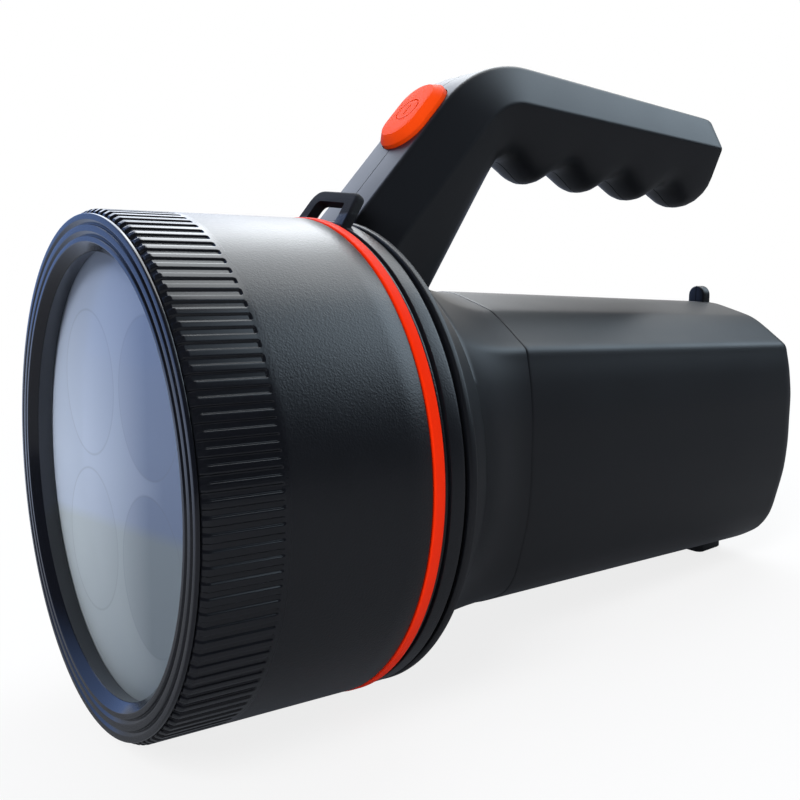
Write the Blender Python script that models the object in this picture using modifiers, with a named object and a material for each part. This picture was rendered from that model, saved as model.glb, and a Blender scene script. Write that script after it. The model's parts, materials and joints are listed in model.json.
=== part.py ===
"""Hand-held UV torch with a wide head, a clamshell housing and a cranked handle.

Everything is drawn in the torch's own frame: the lens axis runs along +Y from the
centre of the front face, +Z is up and +X is the torch's right-hand side.  One empty
then tips the whole torch back until its rear rim and its foot stand on the ground.
"""
import math

import bmesh
import bpy
from mathutils import Matrix, Vector
from mathutils.bvhtree import BVHTree

# General clearances, in metres
GAP = 0.0003
RUNNING_GAP = 0.0005
OVERRUN = 0.004
CHAMFER = 0.0006

# Head: stations along the lens axis and radii
BARREL_RADIUS = 0.0661
BARREL_WALL = 0.0040
BARREL_FRONT_Y = 0.0013
BARREL_BEVEL = 0.0012
BARREL_BEVEL_LENGTH = 0.0024
BARREL_END_Y = 0.0577
FLUTE_COUNT = 120
FLUTE_DEPTH = 0.0006
FLUTE_END_Y = 0.0196
FLUTE_RUNOUT = 0.0008
BEZEL_SETBACK = 0.0011
BEZEL_FACE_WIDTH = 0.0085
BEZEL_WALL = 0.0022
BEZEL_LAND = 0.0015
BEZEL_GROOVE_WIDTH = 0.0013
BEZEL_GROOVE_DEPTH = 0.0007
BEZEL_SKIRT_LENGTH = 0.0113
BEZEL_BEVEL = 0.0024
BEZEL_LIP = 0.0007
LENS_DEPTH = 0.0068
LENS_THICKNESS = 0.0020
LENS_LEDGE = 0.0026
LENS_SEAL_THICKNESS = 0.0014
ORANGE_RING_WIDTH = 0.0031
ORANGE_RING_RISE = 0.0002
THREAD_LENGTH = 0.0120

# Head base: collar ring, spigot, plate and the hub that the shells clamp
COLLAR_SETBACK = 0.0004
COLLAR_WIDTH = 0.0062
SPIGOT_WALL = 0.0030
BASE_PLATE_THICKNESS = 0.0040
CABLE_HOLE_RADIUS = 0.0080
HUB_SETBACK = 0.0197
HUB_WALL = 0.0040
HUB_LIP = 0.0035
HUB_LIP_THICKNESS = 0.0026

# Strap loop on the collar ring, turned a little to the right of the handle
LOOP_TURN_DEG = 5.5
LOOP_LEAN_DEG = 33.0
LOOP_REACH = 0.0088
LOOP_FOOT_DEPTH = 0.0022
LOOP_BAR = 0.0036
LOOP_BASE_HALF_WIDTH = 0.0128
LOOP_TOP_HALF_WIDTH = 0.0112
LOOP_HOLE_HALF_WIDTH = 0.0078
LOOP_THICKNESS = 0.0030

# Reflector, emitters, board and heat sink
CUP_SPACING_SHARE = 0.765
CUP_LAND = 0.0040
CUP_DEPTH = 0.0150
CUP_FLOOR_RADIUS = 0.0050
CUP_WALL = 0.0012
REFLECTOR_PLATE = 0.0016
REFLECTOR_SKIRT = 0.0030
LED_HOLE_RADIUS = 0.0043
LED_SIZE = 0.0050
LED_HEIGHT = 0.0020
LED_DOME_RADIUS = 0.0018
LED_BOARD_INSET = 0.0060
LED_BOARD_THICKNESS = 0.0016
SINK_CLEARANCE = 0.0121
SINK_BASE = 0.0040
SINK_FIN_COUNT = 8
SINK_FIN_THICKNESS = 0.0022
SINK_FIN_HEIGHT = 0.0160
SINK_POST_RADIUS = 0.0040
SINK_POST_INSET = 0.0140
SINK_POST_COUNT = 3
BOARD_SCREW_INSET = 0.0140

# Housing: rear rim, cone and neck
RIM_GROOVE_WIDTH = 0.0010
RIM_GROOVE_DEPTH = 0.0032
RIM_WIDTH = 0.0026
CONE_DROP = 0.0075
CONE_LENGTH = 0.0045
NECK_SETBACK = 0.0109
NECK_LEAD = 0.0072
NECK_LENGTH = 0.0273
BODY_STEP = 0.0025
BODY_STEP_LENGTH = 0.0020
BODY_SIDE_SETBACK = 0.0125
BODY_TOP_SETBACK = 0.0088
BODY_BOTTOM_SETBACK = 0.0033
BODY_REAR_RADIUS = 0.0100
BODY_REAR_WIDTH_SHARE = 0.896
BODY_REAR_TOP_SHARE = 0.905
BODY_REAR_BOTTOM_SHARE = 0.970
SHELL_WALL = 0.0025
PARTING_GAP = 0.0003

# Half section of the body, from the crown round the right side to the keel:
# across as shares of the half width, up as shares of the top or the bottom height
BODY_OUTLINE_SHARES = [
    (0.000, 1.000), (0.155, 0.988), (0.385, 0.933), (0.540, 0.891), (0.630, 0.848),
    (0.720, 0.778), (0.800, 0.707), (0.922, 0.665), (0.945, 0.590), (0.975, 0.460),
    (1.000, 0.250), (1.000, 0.040), (0.997, -0.150), (0.969, -0.353), (0.908, -0.544),
    (0.855, -0.680), (0.760, -0.790), (0.600, -0.872), (0.369, -0.948), (0.000, -1.000),
]

# Handle in side view: front and top line, ridge line, rear and underside line
ARM_FOOT_SETBACK = 0.0001
ARM_FOOT_RISE = 0.0003
ARM_ROOT_DROP = 0.0220
ARM_RUN = 0.0432
ARM_RISE = 0.0490
GRIP_END_INSET = 0.0220
GRIP_FALL = 0.0085
TOP_BEND_RADIUS = 0.0370
RIDGE_FOOT_RUN = 0.0092
RIDGE_FOOT_DROP = 0.0081
RIDGE_CORNER_RUN = 0.0057
RIDGE_CORNER_DROP = 0.0127
RIDGE_END_DROP = 0.0106
RIDGE_BEND_RADIUS = 0.0175
REAR_FOOT_RUN = 0.0264
REAR_FOOT_DROP = 0.0233
REAR_CORNER_RUN = 0.0107
REAR_CORNER_DROP = 0.0283
UNDER_END_DROP = 0.0262
REAR_BEND_RADIUS = 0.0060
GRIP_TOP_HALF_WIDTH = 0.0108
GRIP_RIDGE_HALF_WIDTH = 0.0165
GRIP_UNDER_HALF_WIDTH = 0.0100
FINGER_COUNT = 4
FINGER_PITCH = 0.0243
FINGER_DEPTH = 0.0055
FIRST_CREST_RUN = 0.0272
CREST_NARROWING = 0.0022
GRIP_END_RISE = 0.0030
REAR_ROOT_DROP = 0.0020
HANDLE_WALL = 0.0026

# Foot and rear stud
FOOT_INSET = 0.0100
FOOT_HEIGHT = 0.0007
FOOT_LENGTH = 0.0130
FOOT_HALF_WIDTH = 0.0100
FOOT_ROOT = 0.0060
STUD_INSET = 0.0108
STUD_WIDTH = 0.0070
STUD_THICKNESS = 0.0040
STUD_RISE = 0.0018
STUD_ROOT = 0.0080

# Power button in the front face of the arm
BUTTON_ALONG = 0.0410
BUTTON_LENGTH = 0.0250
BUTTON_WIDTH = 0.0184
BUTTON_CORNER = 0.0086
BUTTON_PROUD = 0.0034
BUTTON_CHAMFER = 0.0022
BUTTON_FLANGE = 0.0009
BUTTON_FLANGE_THICKNESS = 0.0012
BUTTON_TRAVEL = 0.0015
BUTTON_STEM_RADIUS = 0.0030
BUTTON_STEM_LENGTH = 0.0035
POWER_RING_RADIUS = 0.0036
POWER_LINE_WIDTH = 0.0009
POWER_LINE_HEIGHT = 0.0004
POWER_GAP_DEG = 70.0
PLUNGER_RADIUS = 0.0018
PLUNGER_LENGTH = 0.0040
SWITCH_SIZE = 0.0085
SWITCH_HEIGHT = 0.0060
SWITCH_BOARD_LENGTH = 0.0220
SWITCH_BOARD_WIDTH = 0.0130
BOARD_THICKNESS = 0.0016

# Battery pack and driver board inside the body
CELL_RADIUS = 0.0092
CELL_LENGTH = 0.0650
CELL_PITCH = 0.0198
CELL_FRONT_ROOM = 0.0315
CELL_REAR_ROOM = 0.0360
PACK_CENTRE_Z = -0.0080
HOLDER_END = 0.0040
HOLDER_MARGIN = 0.0026
HOLDER_WINDOW = 0.0297
DRIVER_LENGTH = 0.0560
DRIVER_WIDTH = 0.0340
DRIVER_END_INSET = 0.0030
DRIVER_LIFT = 0.0080
DRIVER_COIL_RADIUS = 0.0050
DRIVER_COIL_HEIGHT = 0.0070
DRIVER_CHIP = 0.0080
DRIVER_CHIP_HEIGHT = 0.0022

# Charging socket in the rear wall with its rubber cover
SOCKET_Z = 0.0120
SOCKET_RADIUS = 0.0040
SOCKET_BORE_RADIUS = 0.0021
SOCKET_HOLE_RADIUS = 0.0030
SOCKET_LENGTH = 0.0120
COVER_RADIUS = 0.0085
COVER_THICKNESS = 0.0022
COVER_PLUG_RADIUS = 0.0021
COVER_PLUG_LENGTH = 0.0022
COVER_TAB = 0.0030
COVER_HINGE_RADIUS = 0.0015
COVER_HINGE_LENGTH = 0.0080
COVER_PIN_RADIUS = 0.0007
COVER_PIN_LENGTH = 0.0130
COVER_RECESS = 0.0025
COVER_CLEARANCE = 0.0005
COVER_BOSS_DEPTH = 0.0040
RIB_THICKNESS = 0.0025
RIB_HALF_WIDTH = 0.0140

# Screws and their bosses
SCREW_RADIUS = 0.0014
SCREW_HEAD_RADIUS = 0.0028
SCREW_HEAD_HEIGHT = 0.0020
SCREW_SLOT_DEPTH = 0.0010
BOSS_WALL = 0.0018
BODY_SCREW_SEAT = 0.0200
HANDLE_SCREW_SEAT = 0.0060
SCREW_GRIP = 0.0090
SMALL_SCREW_LENGTH = 0.0060
BODY_SCREW_SHARES = [(0.12, 0.52), (0.90, 0.52), (0.12, -0.62), (0.90, -0.62)]
ARM_SCREW_SHARES = (0.36, 0.46)
GRIP_SCREW_SHARES = (0.86, 0.45)

# Internal leads: radius and the hand-placed points of each route
LEAD_RADIUS = 0.0011
LEAD_HOLE_RADIUS = 0.0020
LED_LEAD_ROUTE = [
    (0.000, 0.0290, 0.000), (0.000, 0.0450, 0.000), (0.001, 0.0660, 0.001), (0.005, 0.0950, 0.004),
]
# Its last points, and the switch lead's, from the driver board's front edge
LED_LEAD_END_ROUTE = [
    (0.010, -0.0260, 0.009), (0.011, -0.0110, 0.018), (0.011, -0.0050, 0.0225), (0.011, -0.0010, 0.0235),
]
SWITCH_LEAD_END_ROUTE = [(-0.011, -0.0080, 0.0300), (-0.011, -0.0045, 0.0250), (-0.011, -0.0010, 0.0235)]
# Switch lead: first its points from the arm's foot, then its points from the crown
ARM_LEAD_ROUTE = [
    (-0.003, 0.0323, 0.0110), (-0.003, 0.0306, 0.0090), (-0.004, 0.0284, 0.0015), (-0.005, 0.0250, -0.0080),
    (-0.005, 0.0174, -0.0190),
]
CROWN_LEAD_ROUTE = [
    (-0.006, 0.0920, -0.0070), (-0.009, 0.1060, -0.0110), (-0.011, 0.1260, -0.0115),
]
# Charging lead: its points from the rear face, then from the driver board's rear edge
CHARGE_LEAD_ROUTE = [(0.002, -0.0200, 0.0120), (0.006, -0.0260, 0.0130), (0.010, -0.0300, 0.0175)]
CHARGE_LEAD_END_ROUTE = [(0.011, 0.0050, 0.0225), (0.011, 0.0010, 0.0235)]

# Mesh fineness
BARREL_STEPS = 2 * FLUTE_COUNT
RING_STEPS = 60
INNER_STEPS = 36
CUP_STEPS = 20
SCREW_STEPS = 8
ARC_STEPS = 6
FINGER_STEPS = 6
REAR_STEPS = 3
ARM_STEPS = 3
NECK_MIDDLE_SHARE = 0.40
NECK_BLEND_SHARE = 0.62
LEAD_STEPS = 3
CUP_RINGS = 3
SHARP_DEG = 32.0
MERGE_DISTANCE = 0.00001

# Values worked out from the driving dimensions
BARREL_BORE = BARREL_RADIUS - BARREL_WALL
BEZEL_RADIUS = BARREL_RADIUS - BEZEL_SETBACK
BEZEL_BORE_RADIUS = BEZEL_RADIUS - BEZEL_FACE_WIDTH
LENS_BACK_Y = LENS_DEPTH + GAP + LENS_THICKNESS
BEZEL_SKIRT_RADIUS = BARREL_BORE - GAP
LENS_RADIUS = BEZEL_SKIRT_RADIUS - BEZEL_WALL - GAP
REFLECTOR_RADIUS = BEZEL_BORE_RADIUS - GAP
REFLECTOR_FRONT_Y = LENS_BACK_Y + GAP
CUP_SPACING = REFLECTOR_RADIUS * CUP_SPACING_SHARE
CUP_RADIUS = (CUP_SPACING - CUP_LAND) / 2
CUP_BACK_Y = REFLECTOR_FRONT_Y + CUP_DEPTH
LED_BOARD_Y = CUP_BACK_Y + GAP
SINK_FRONT_Y = LED_BOARD_Y + LED_BOARD_THICKNESS + GAP
SINK_BACK_Y = SINK_FRONT_Y + SINK_BASE
SINK_RADIUS = BARREL_BORE - SINK_CLEARANCE
SINK_POST_CIRCLE = SINK_RADIUS - SINK_POST_INSET
LED_BOARD_RADIUS = SINK_RADIUS - LED_BOARD_INSET
BOARD_SCREW_CIRCLE = LED_BOARD_RADIUS - BOARD_SCREW_INSET
ORANGE_RING_RADIUS = BARREL_RADIUS + ORANGE_RING_RISE
ORANGE_RING_Y = BARREL_END_Y + GAP
COLLAR_RADIUS = BARREL_RADIUS - COLLAR_SETBACK
COLLAR_START_Y = ORANGE_RING_Y + ORANGE_RING_WIDTH + GAP
COLLAR_END_Y = COLLAR_START_Y + COLLAR_WIDTH
SPIGOT_RADIUS = BARREL_BORE - RUNNING_GAP
SPIGOT_START_Y = COLLAR_START_Y - THREAD_LENGTH
HUB_RADIUS = COLLAR_RADIUS - HUB_SETBACK
RIM_FRONT_Y = COLLAR_END_Y + GAP
RIM_START_Y = RIM_FRONT_Y + RIM_GROOVE_WIDTH
RIM_END_Y = RIM_START_Y + RIM_WIDTH
HUB_WALL_END_Y = RIM_FRONT_Y + 2 * HUB_LIP_THICKNESS
LIP_START_Y = HUB_WALL_END_Y + GAP
LIP_END_Y = LIP_START_Y + HUB_LIP_THICKNESS
CONE_TOP_RADIUS = COLLAR_RADIUS - CONE_DROP
CONE_TOP_Y = RIM_END_Y + CONE_LENGTH
NECK_RADIUS = COLLAR_RADIUS - NECK_SETBACK
NECK_START_Y = CONE_TOP_Y + NECK_LEAD
BODY_FRONT_Y = NECK_START_Y + NECK_LENGTH
BODY_HALF_WIDTH = NECK_RADIUS - BODY_SIDE_SETBACK
BODY_TOP = NECK_RADIUS - BODY_TOP_SETBACK
BODY_BOTTOM = NECK_RADIUS - BODY_BOTTOM_SETBACK
CELL_START_Y = BODY_FRONT_Y + CELL_FRONT_ROOM
BODY_END_Y = CELL_START_Y + CELL_LENGTH + CELL_REAR_ROOM
DRIVER_START_Y = CELL_START_Y + CELL_LENGTH - DRIVER_LENGTH - DRIVER_END_INSET
ARM_FOOT_Y = RIM_END_Y + ARM_FOOT_SETBACK
ARM_FOOT_Z = COLLAR_RADIUS + ARM_FOOT_RISE
ARM_ROOT_Z = ARM_FOOT_Z - ARM_ROOT_DROP
ARM_CORNER_Y = ARM_FOOT_Y + ARM_RUN
ARM_CORNER_Z = ARM_FOOT_Z + ARM_RISE
GRIP_END_Y = BODY_END_Y - GRIP_END_INSET
GRIP_END_Z = ARM_CORNER_Z - GRIP_FALL
RIDGE_FOOT_Y = ARM_FOOT_Y + RIDGE_FOOT_RUN
RIDGE_FOOT_Z = ARM_FOOT_Z - RIDGE_FOOT_DROP
RIDGE_CORNER_Y = ARM_CORNER_Y + RIDGE_CORNER_RUN
RIDGE_CORNER_Z = ARM_CORNER_Z - RIDGE_CORNER_DROP
RIDGE_END_Z = GRIP_END_Z - RIDGE_END_DROP
REAR_FOOT_Y = ARM_FOOT_Y + REAR_FOOT_RUN
REAR_FOOT_Z = ARM_FOOT_Z - REAR_FOOT_DROP
REAR_CORNER_Y = ARM_CORNER_Y + REAR_CORNER_RUN
REAR_CORNER_Z = ARM_CORNER_Z - REAR_CORNER_DROP
UNDER_END_Z = GRIP_END_Z - UNDER_END_DROP
FIRST_CREST_Y = ARM_CORNER_Y + FIRST_CREST_RUN
FOOT_Y = BODY_END_Y - FOOT_INSET
FOOT_DEPTH = BODY_BOTTOM + FOOT_HEIGHT
STUD_Y = BODY_END_Y - STUD_INSET
STUD_TOP_Z = BODY_TOP + STUD_RISE
REST_TILT = math.atan2(COLLAR_RADIUS - FOOT_DEPTH, FOOT_Y - RIM_END_Y + CHAMFER)
ARM_ANGLE = math.atan2(ARM_RISE, ARM_RUN)


def make_material(name, colour, roughness, metallic=0.0):
    """Return a Principled material of one plain colour."""
    material = bpy.data.materials.new(name)
    material.use_nodes = True
    shader = material.node_tree.nodes["Principled BSDF"]
    shader.inputs["Base Color"].default_value = (*colour, 1.0)
    shader.inputs["Roughness"].default_value = roughness
    shader.inputs["Metallic"].default_value = metallic
    return material


def make_materials():
    """Return the torch's finishes by name."""
    return {
        "satin_black": make_material("satin_black", (0.022, 0.023, 0.026), 0.42),
        "gloss_black": make_material("gloss_black", (0.016, 0.017, 0.020), 0.18),
        "orange": make_material("orange", (1.0, 0.081, 0.003), 0.38),
        "clear_lens": make_material("clear_lens", (0.75, 0.80, 0.86), 0.04),
        "silver": make_material("silver", (0.82, 0.84, 0.88), 0.12, 1.0),
        "rubber": make_material("rubber", (0.020, 0.020, 0.021), 0.75),
        "aluminium": make_material("aluminium", (0.66, 0.67, 0.69), 0.35, 1.0),
        "steel": make_material("steel", (0.45, 0.46, 0.48), 0.30, 1.0),
        "board_green": make_material("board_green", (0.02, 0.16, 0.06), 0.45),
        "board_white": make_material("board_white", (0.80, 0.80, 0.78), 0.40),
        "led_yellow": make_material("led_yellow", (0.80, 0.68, 0.22), 0.30),
        "cell_blue": make_material("cell_blue", (0.03, 0.16, 0.50), 0.35),
        "inner_black": make_material("inner_black", (0.05, 0.05, 0.05), 0.55),
        "lead_red": make_material("lead_red", (0.60, 0.03, 0.02), 0.45),
    }


def evaluated_mesh(obj):
    """Return a plain mesh of an object with its modifiers applied."""
    depsgraph = bpy.context.evaluated_depsgraph_get()
    depsgraph.update()
    return bpy.data.meshes.new_from_object(obj.evaluated_get(depsgraph))


class Torch:
    """The collections, the parent empty and the ways of adding a piece to them."""

    def __init__(self):
        self.materials = make_materials()
        self.parts = bpy.data.collections.new("uv_flashlight")
        self.cutters = bpy.data.collections.new("cutters")
        for collection in (self.parts, self.cutters):
            bpy.context.scene.collection.children.link(collection)
        self.axis = self.empty("torch_axis", Matrix.Identity(4), None)

    def empty(self, name, matrix, parent):
        """Add an empty that carries pieces at a place in the torch's frame."""
        empty = bpy.data.objects.new(name, None)
        empty.empty_display_size = BODY_TOP
        self.parts.objects.link(empty)
        empty.parent = parent
        empty.matrix_local = matrix
        return empty

    def add(self, name, mesh, finish, parent=None, smooth=True):
        """Add a piece, or a cutter when it has no finish."""
        obj = bpy.data.objects.new(name, mesh)
        obj.parent = parent or self.axis
        if finish is None:
            self.cutters.objects.link(obj)
            obj.hide_render = True
            obj.display_type = "WIRE"
            return obj
        self.parts.objects.link(obj)
        mesh.materials.clear()
        mesh.materials.append(self.materials[finish])
        if smooth:
            mesh.shade_smooth()
            mesh.set_sharp_from_angle(angle=math.radians(SHARP_DEG))
        return obj

    def turned(self, name, profile, steps, finish, parent=None):
        """Add a turned piece from (radius, station) pairs, outer side rear to front."""
        mesh = bpy.data.meshes.new(name)
        points = [(radius, 0.0, station) for radius, station in profile]
        edges = [(i, i + 1) for i in range(len(points) - 1)]
        if profile[0][0] > 0 or profile[-1][0] > 0:
            edges.append((len(points) - 1, 0))
        mesh.from_pydata(points, edges, [])
        source = bpy.data.objects.new(name + "_profile", mesh)
        self.cutters.objects.link(source)
        screw = source.modifiers.new("turn", "SCREW")
        screw.steps = steps
        screw.render_steps = steps
        screw.use_merge_vertices = True
        screw.merge_threshold = MERGE_DISTANCE
        turned_mesh = evaluated_mesh(source)
        turned_mesh.transform(Matrix.Rotation(-math.pi / 2, 4, "X"))
        turned_mesh.name = name
        bpy.data.objects.remove(source)
        return self.add(name, turned_mesh, finish, parent)

    def plate(self, name, outline, thickness, matrix, finish, parent=None):
        """Add a flat outline, extruded equally to both sides of its plane."""
        curve = bpy.data.curves.new(name, "CURVE")
        curve.dimensions = "2D"
        curve.fill_mode = "BOTH"
        curve.extrude = thickness / 2
        spline = curve.splines.new("POLY")
        spline.points.add(len(outline) - 1)
        for point, (x, y) in zip(spline.points, outline):
            point.co = (x, y, 0.0, 1.0)
        spline.use_cyclic_u = True
        source = bpy.data.objects.new(name + "_outline", curve)
        self.cutters.objects.link(source)
        mesh = evaluated_mesh(source)
        bpy.data.objects.remove(source)
        weld(mesh)
        mesh.transform(matrix)
        return self.add(name, mesh, finish, parent)

    def tube(self, name, points, radius, finish, parent=None):
        """Add a round wire along a smooth route through hand-placed points."""
        curve = bpy.data.curves.new(name, "CURVE")
        curve.dimensions = "3D"
        curve.bevel_depth = radius
        curve.bevel_resolution = 1
        curve.use_fill_caps = True
        route = smooth_route(points)
        spline = curve.splines.new("POLY")
        spline.points.add(len(route) - 1)
        for point, place in zip(spline.points, route):
            point.co = (*place, 1.0)
        source = bpy.data.objects.new(name + "_route", curve)
        self.cutters.objects.link(source)
        mesh = evaluated_mesh(source)
        bpy.data.objects.remove(source)
        weld(mesh)
        return self.add(name, mesh, finish, parent)

    def block(self, name, size, matrix, finish, parent=None):
        """Add a box of the given size, centred on the matrix."""
        form = bmesh.new()
        bmesh.ops.create_cube(form, size=1.0, matrix=matrix @ Matrix.Diagonal((*size, 1.0)))
        return self.add(name, to_mesh(name, form), finish, parent, smooth=False)

    def rod(self, name, radius, length, matrix, finish, parent=None, steps=None):
        """Add a cylinder centred on the matrix, along its local Z."""
        form = bmesh.new()
        add_rod(form, radius, length, matrix, steps or SCREW_STEPS)
        return self.add(name, to_mesh(name, form), finish, parent)

    def loft(self, name, rings, finish, parent=None):
        """Add a closed body lofted through rings of equal point counts."""
        form = bmesh.new()
        loops = [[form.verts.new(point) for point in ring] for ring in rings]
        count = len(loops[0])
        for near, far in zip(loops, loops[1:]):
            for i in range(count):
                j = (i + 1) % count
                form.faces.new((near[i], near[j], far[j], far[i]))
        form.faces.new(list(reversed(loops[0])))
        form.faces.new(loops[-1])
        bmesh.ops.recalc_face_normals(form, faces=form.faces)
        return self.add(name, to_mesh(name, form), finish, parent)

    def boolean(self, obj, cutter, operation):
        """Add one Boolean step to an object."""
        step = obj.modifiers.new(cutter.name, "BOOLEAN")
        step.operation = operation
        step.solver = "EXACT"
        step.object = cutter
        return step


def weld(mesh):
    """Close the loose caps of a mesh that comes from a curve."""
    form = bmesh.new()
    form.from_mesh(mesh)
    bmesh.ops.remove_doubles(form, verts=form.verts, dist=MERGE_DISTANCE)
    bmesh.ops.recalc_face_normals(form, faces=form.faces)
    form.to_mesh(mesh)
    form.free()


def to_mesh(name, form):
    """Turn a bmesh into a named mesh."""
    mesh = bpy.data.meshes.new(name)
    form.to_mesh(mesh)
    form.free()
    return mesh


def add_rod(form, radius, length, matrix, steps, end_radius=None):
    """Add a cylinder or cone to a bmesh."""
    tip = radius if end_radius is None else end_radius
    bmesh.ops.create_cone(form, cap_ends=True, segments=steps, radius1=radius,
                          radius2=tip, depth=length, matrix=matrix)


def along_x(x, y, z):
    """Return a matrix at a place, with its local Z along +X."""
    return Matrix.Translation((x, y, z)) @ Matrix.Rotation(math.pi / 2, 4, "Y")


def along_y(x, y, z):
    """Return a matrix at a place, with its local Z along +Y."""
    return Matrix.Translation((x, y, z)) @ Matrix.Rotation(-math.pi / 2, 4, "X")


def smooth_route(points):
    """Return points along a smooth curve through hand-placed points."""
    places = [Vector(p) for p in points]
    places = [2 * places[0] - places[1]] + places + [2 * places[-1] - places[-2]]
    route = []
    for a, b, c, d in zip(places, places[1:], places[2:], places[3:]):
        for step in range(LEAD_STEPS):
            t = step / LEAD_STEPS
            route.append(0.5 * ((2 * b) + (c - a) * t + (2 * a - 5 * b + 4 * c - d) * t ** 2
                                + (3 * b - a - 3 * c + d) * t ** 3))
    return route + [places[-2]]


def rounded_rectangle(length, width, corner, steps):
    """Return the outline of a rounded rectangle, long along local Y."""
    outline = []
    for quarter, (sx, sy) in enumerate(((1, 1), (-1, 1), (-1, -1), (1, -1))):
        for step in range(steps + 1):
            angle = (quarter + step / steps) * math.pi / 2
            outline.append((sx * (width / 2 - corner) + corner * math.cos(angle),
                            sy * (length / 2 - corner) + corner * math.sin(angle)))
    return outline


# Head: barrel, bezel, lens and seals
def build_barrel(torch):
    """The fluted barrel: alternate columns of its front part are pressed in."""
    profile = [
        (BARREL_RADIUS, BARREL_END_Y), (BARREL_RADIUS, FLUTE_END_Y),
        (BARREL_RADIUS, FLUTE_END_Y - FLUTE_RUNOUT), (BARREL_RADIUS, BARREL_FRONT_Y + BARREL_BEVEL_LENGTH),
        (BARREL_RADIUS - BARREL_BEVEL, BARREL_FRONT_Y),
        (BARREL_BORE, BARREL_FRONT_Y), (BARREL_BORE, BARREL_END_Y),
    ]
    barrel = torch.turned("head_barrel", profile, BARREL_STEPS, "satin_black", torch.head_axis)
    pressed = (BARREL_RADIUS - FLUTE_DEPTH) / BARREL_RADIUS
    column_angle = 2 * math.pi / BARREL_STEPS
    for vertex in barrel.data.vertices:
        x, y, z = vertex.co
        column = round(math.atan2(z, x) / column_angle)
        fluted = BARREL_FRONT_Y + GAP < y < FLUTE_END_Y - FLUTE_RUNOUT / 2
        if fluted and column % 2 and math.hypot(x, z) > BARREL_BORE + CHAMFER:
            vertex.co = (x * pressed, y, z * pressed)


def build_bezel(torch):
    """Front ring with two fine grooves, a wide bevel and a skirt that screws into the barrel."""
    face = BARREL_FRONT_Y - GAP
    ledge = LENS_DEPTH
    skirt_end = face + BEZEL_SKIRT_LENGTH
    skirt_bore = BEZEL_SKIRT_RADIUS - BEZEL_WALL
    outer = BEZEL_RADIUS
    profile = [
        (BEZEL_SKIRT_RADIUS, skirt_end), (BEZEL_SKIRT_RADIUS, face), (outer, face), (outer, CHAMFER),
        (outer - CHAMFER, 0.0),
    ]
    for index in range(2):
        start = outer - BEZEL_LAND - index * (BEZEL_LAND + BEZEL_GROOVE_WIDTH)
        profile += [(start, 0.0), (start - BEZEL_GROOVE_WIDTH + GAP, BEZEL_GROOVE_DEPTH),
                    (start - BEZEL_GROOVE_WIDTH, 0.0)]
    lip = BEZEL_BORE_RADIUS - BEZEL_LIP
    profile += [(lip + BEZEL_BEVEL, 0.0), (lip, BEZEL_BEVEL), (BEZEL_BORE_RADIUS + BEZEL_LIP, ledge),
                (skirt_bore, ledge), (skirt_bore, skirt_end)]
    torch.turned("front_bezel", profile, RING_STEPS, "gloss_black", torch.head_axis)


def build_lens(torch):
    """Clear window behind the bezel, and the seal behind its edge."""
    front = LENS_DEPTH + GAP
    back = front + LENS_THICKNESS
    profile = [(0.0, back), (LENS_RADIUS, back), (LENS_RADIUS, front), (0.0, front)]
    torch.turned("lens", profile, RING_STEPS, "clear_lens", torch.head_axis)
    seal_front = back + GAP
    seal_back = seal_front + LENS_SEAL_THICKNESS
    seal_bore = LENS_RADIUS - LENS_LEDGE
    profile = [(LENS_RADIUS, seal_back), (LENS_RADIUS, seal_front), (seal_bore, seal_front),
               (seal_bore, seal_back)]
    torch.turned("lens_seal", profile, INNER_STEPS, "rubber", torch.head_axis)


def build_orange_ring(torch):
    """Orange ring trapped between the barrel and the collar."""
    back = ORANGE_RING_Y + ORANGE_RING_WIDTH
    edge = ORANGE_RING_RADIUS - CHAMFER
    profile = [(edge, back), (ORANGE_RING_RADIUS, back - CHAMFER),
               (ORANGE_RING_RADIUS, ORANGE_RING_Y + CHAMFER), (edge, ORANGE_RING_Y),
               (BARREL_BORE, ORANGE_RING_Y), (BARREL_BORE, back)]
    torch.turned("orange_ring", profile, RING_STEPS, "orange", torch.advance_axis)


# Head base with its strap loop
def build_head_base(torch):
    """Dish behind the barrel: spigot, collar ring, cable hole and clamped hub."""
    plate_front = COLLAR_END_Y - BASE_PLATE_THICKNESS
    groove = COLLAR_RADIUS - CHAMFER
    middle = COLLAR_START_Y + COLLAR_WIDTH / 3
    profile = [
        (HUB_RADIUS + HUB_LIP, LIP_END_Y), (HUB_RADIUS + HUB_LIP, LIP_START_Y), (HUB_RADIUS, LIP_START_Y),
        (HUB_RADIUS, COLLAR_END_Y), (COLLAR_RADIUS, COLLAR_END_Y), (COLLAR_RADIUS, middle + CHAMFER),
        (groove, middle), (COLLAR_RADIUS, middle - CHAMFER), (COLLAR_RADIUS, COLLAR_START_Y + CHAMFER),
        (groove, COLLAR_START_Y), (SPIGOT_RADIUS, COLLAR_START_Y),
        (SPIGOT_RADIUS, SPIGOT_START_Y), (SPIGOT_RADIUS - SPIGOT_WALL, SPIGOT_START_Y),
        (SPIGOT_RADIUS - SPIGOT_WALL, plate_front), (CABLE_HOLE_RADIUS, plate_front),
        (CABLE_HOLE_RADIUS, COLLAR_END_Y), (HUB_RADIUS - HUB_WALL, COLLAR_END_Y),
        (HUB_RADIUS - HUB_WALL, LIP_END_Y),
    ]
    base = torch.turned("head_base", profile, RING_STEPS, "satin_black")
    torch.boolean(base, build_loop_form(torch), "UNION")
    for index, (x, z) in enumerate(sink_posts()):
        torch.boolean(base, torch.rod(f"sink_screw_hole_{index}", SCREW_RADIUS + GAP, COLLAR_END_Y,
                                      along_y(x, COLLAR_END_Y, z), None), "DIFFERENCE")


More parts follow.
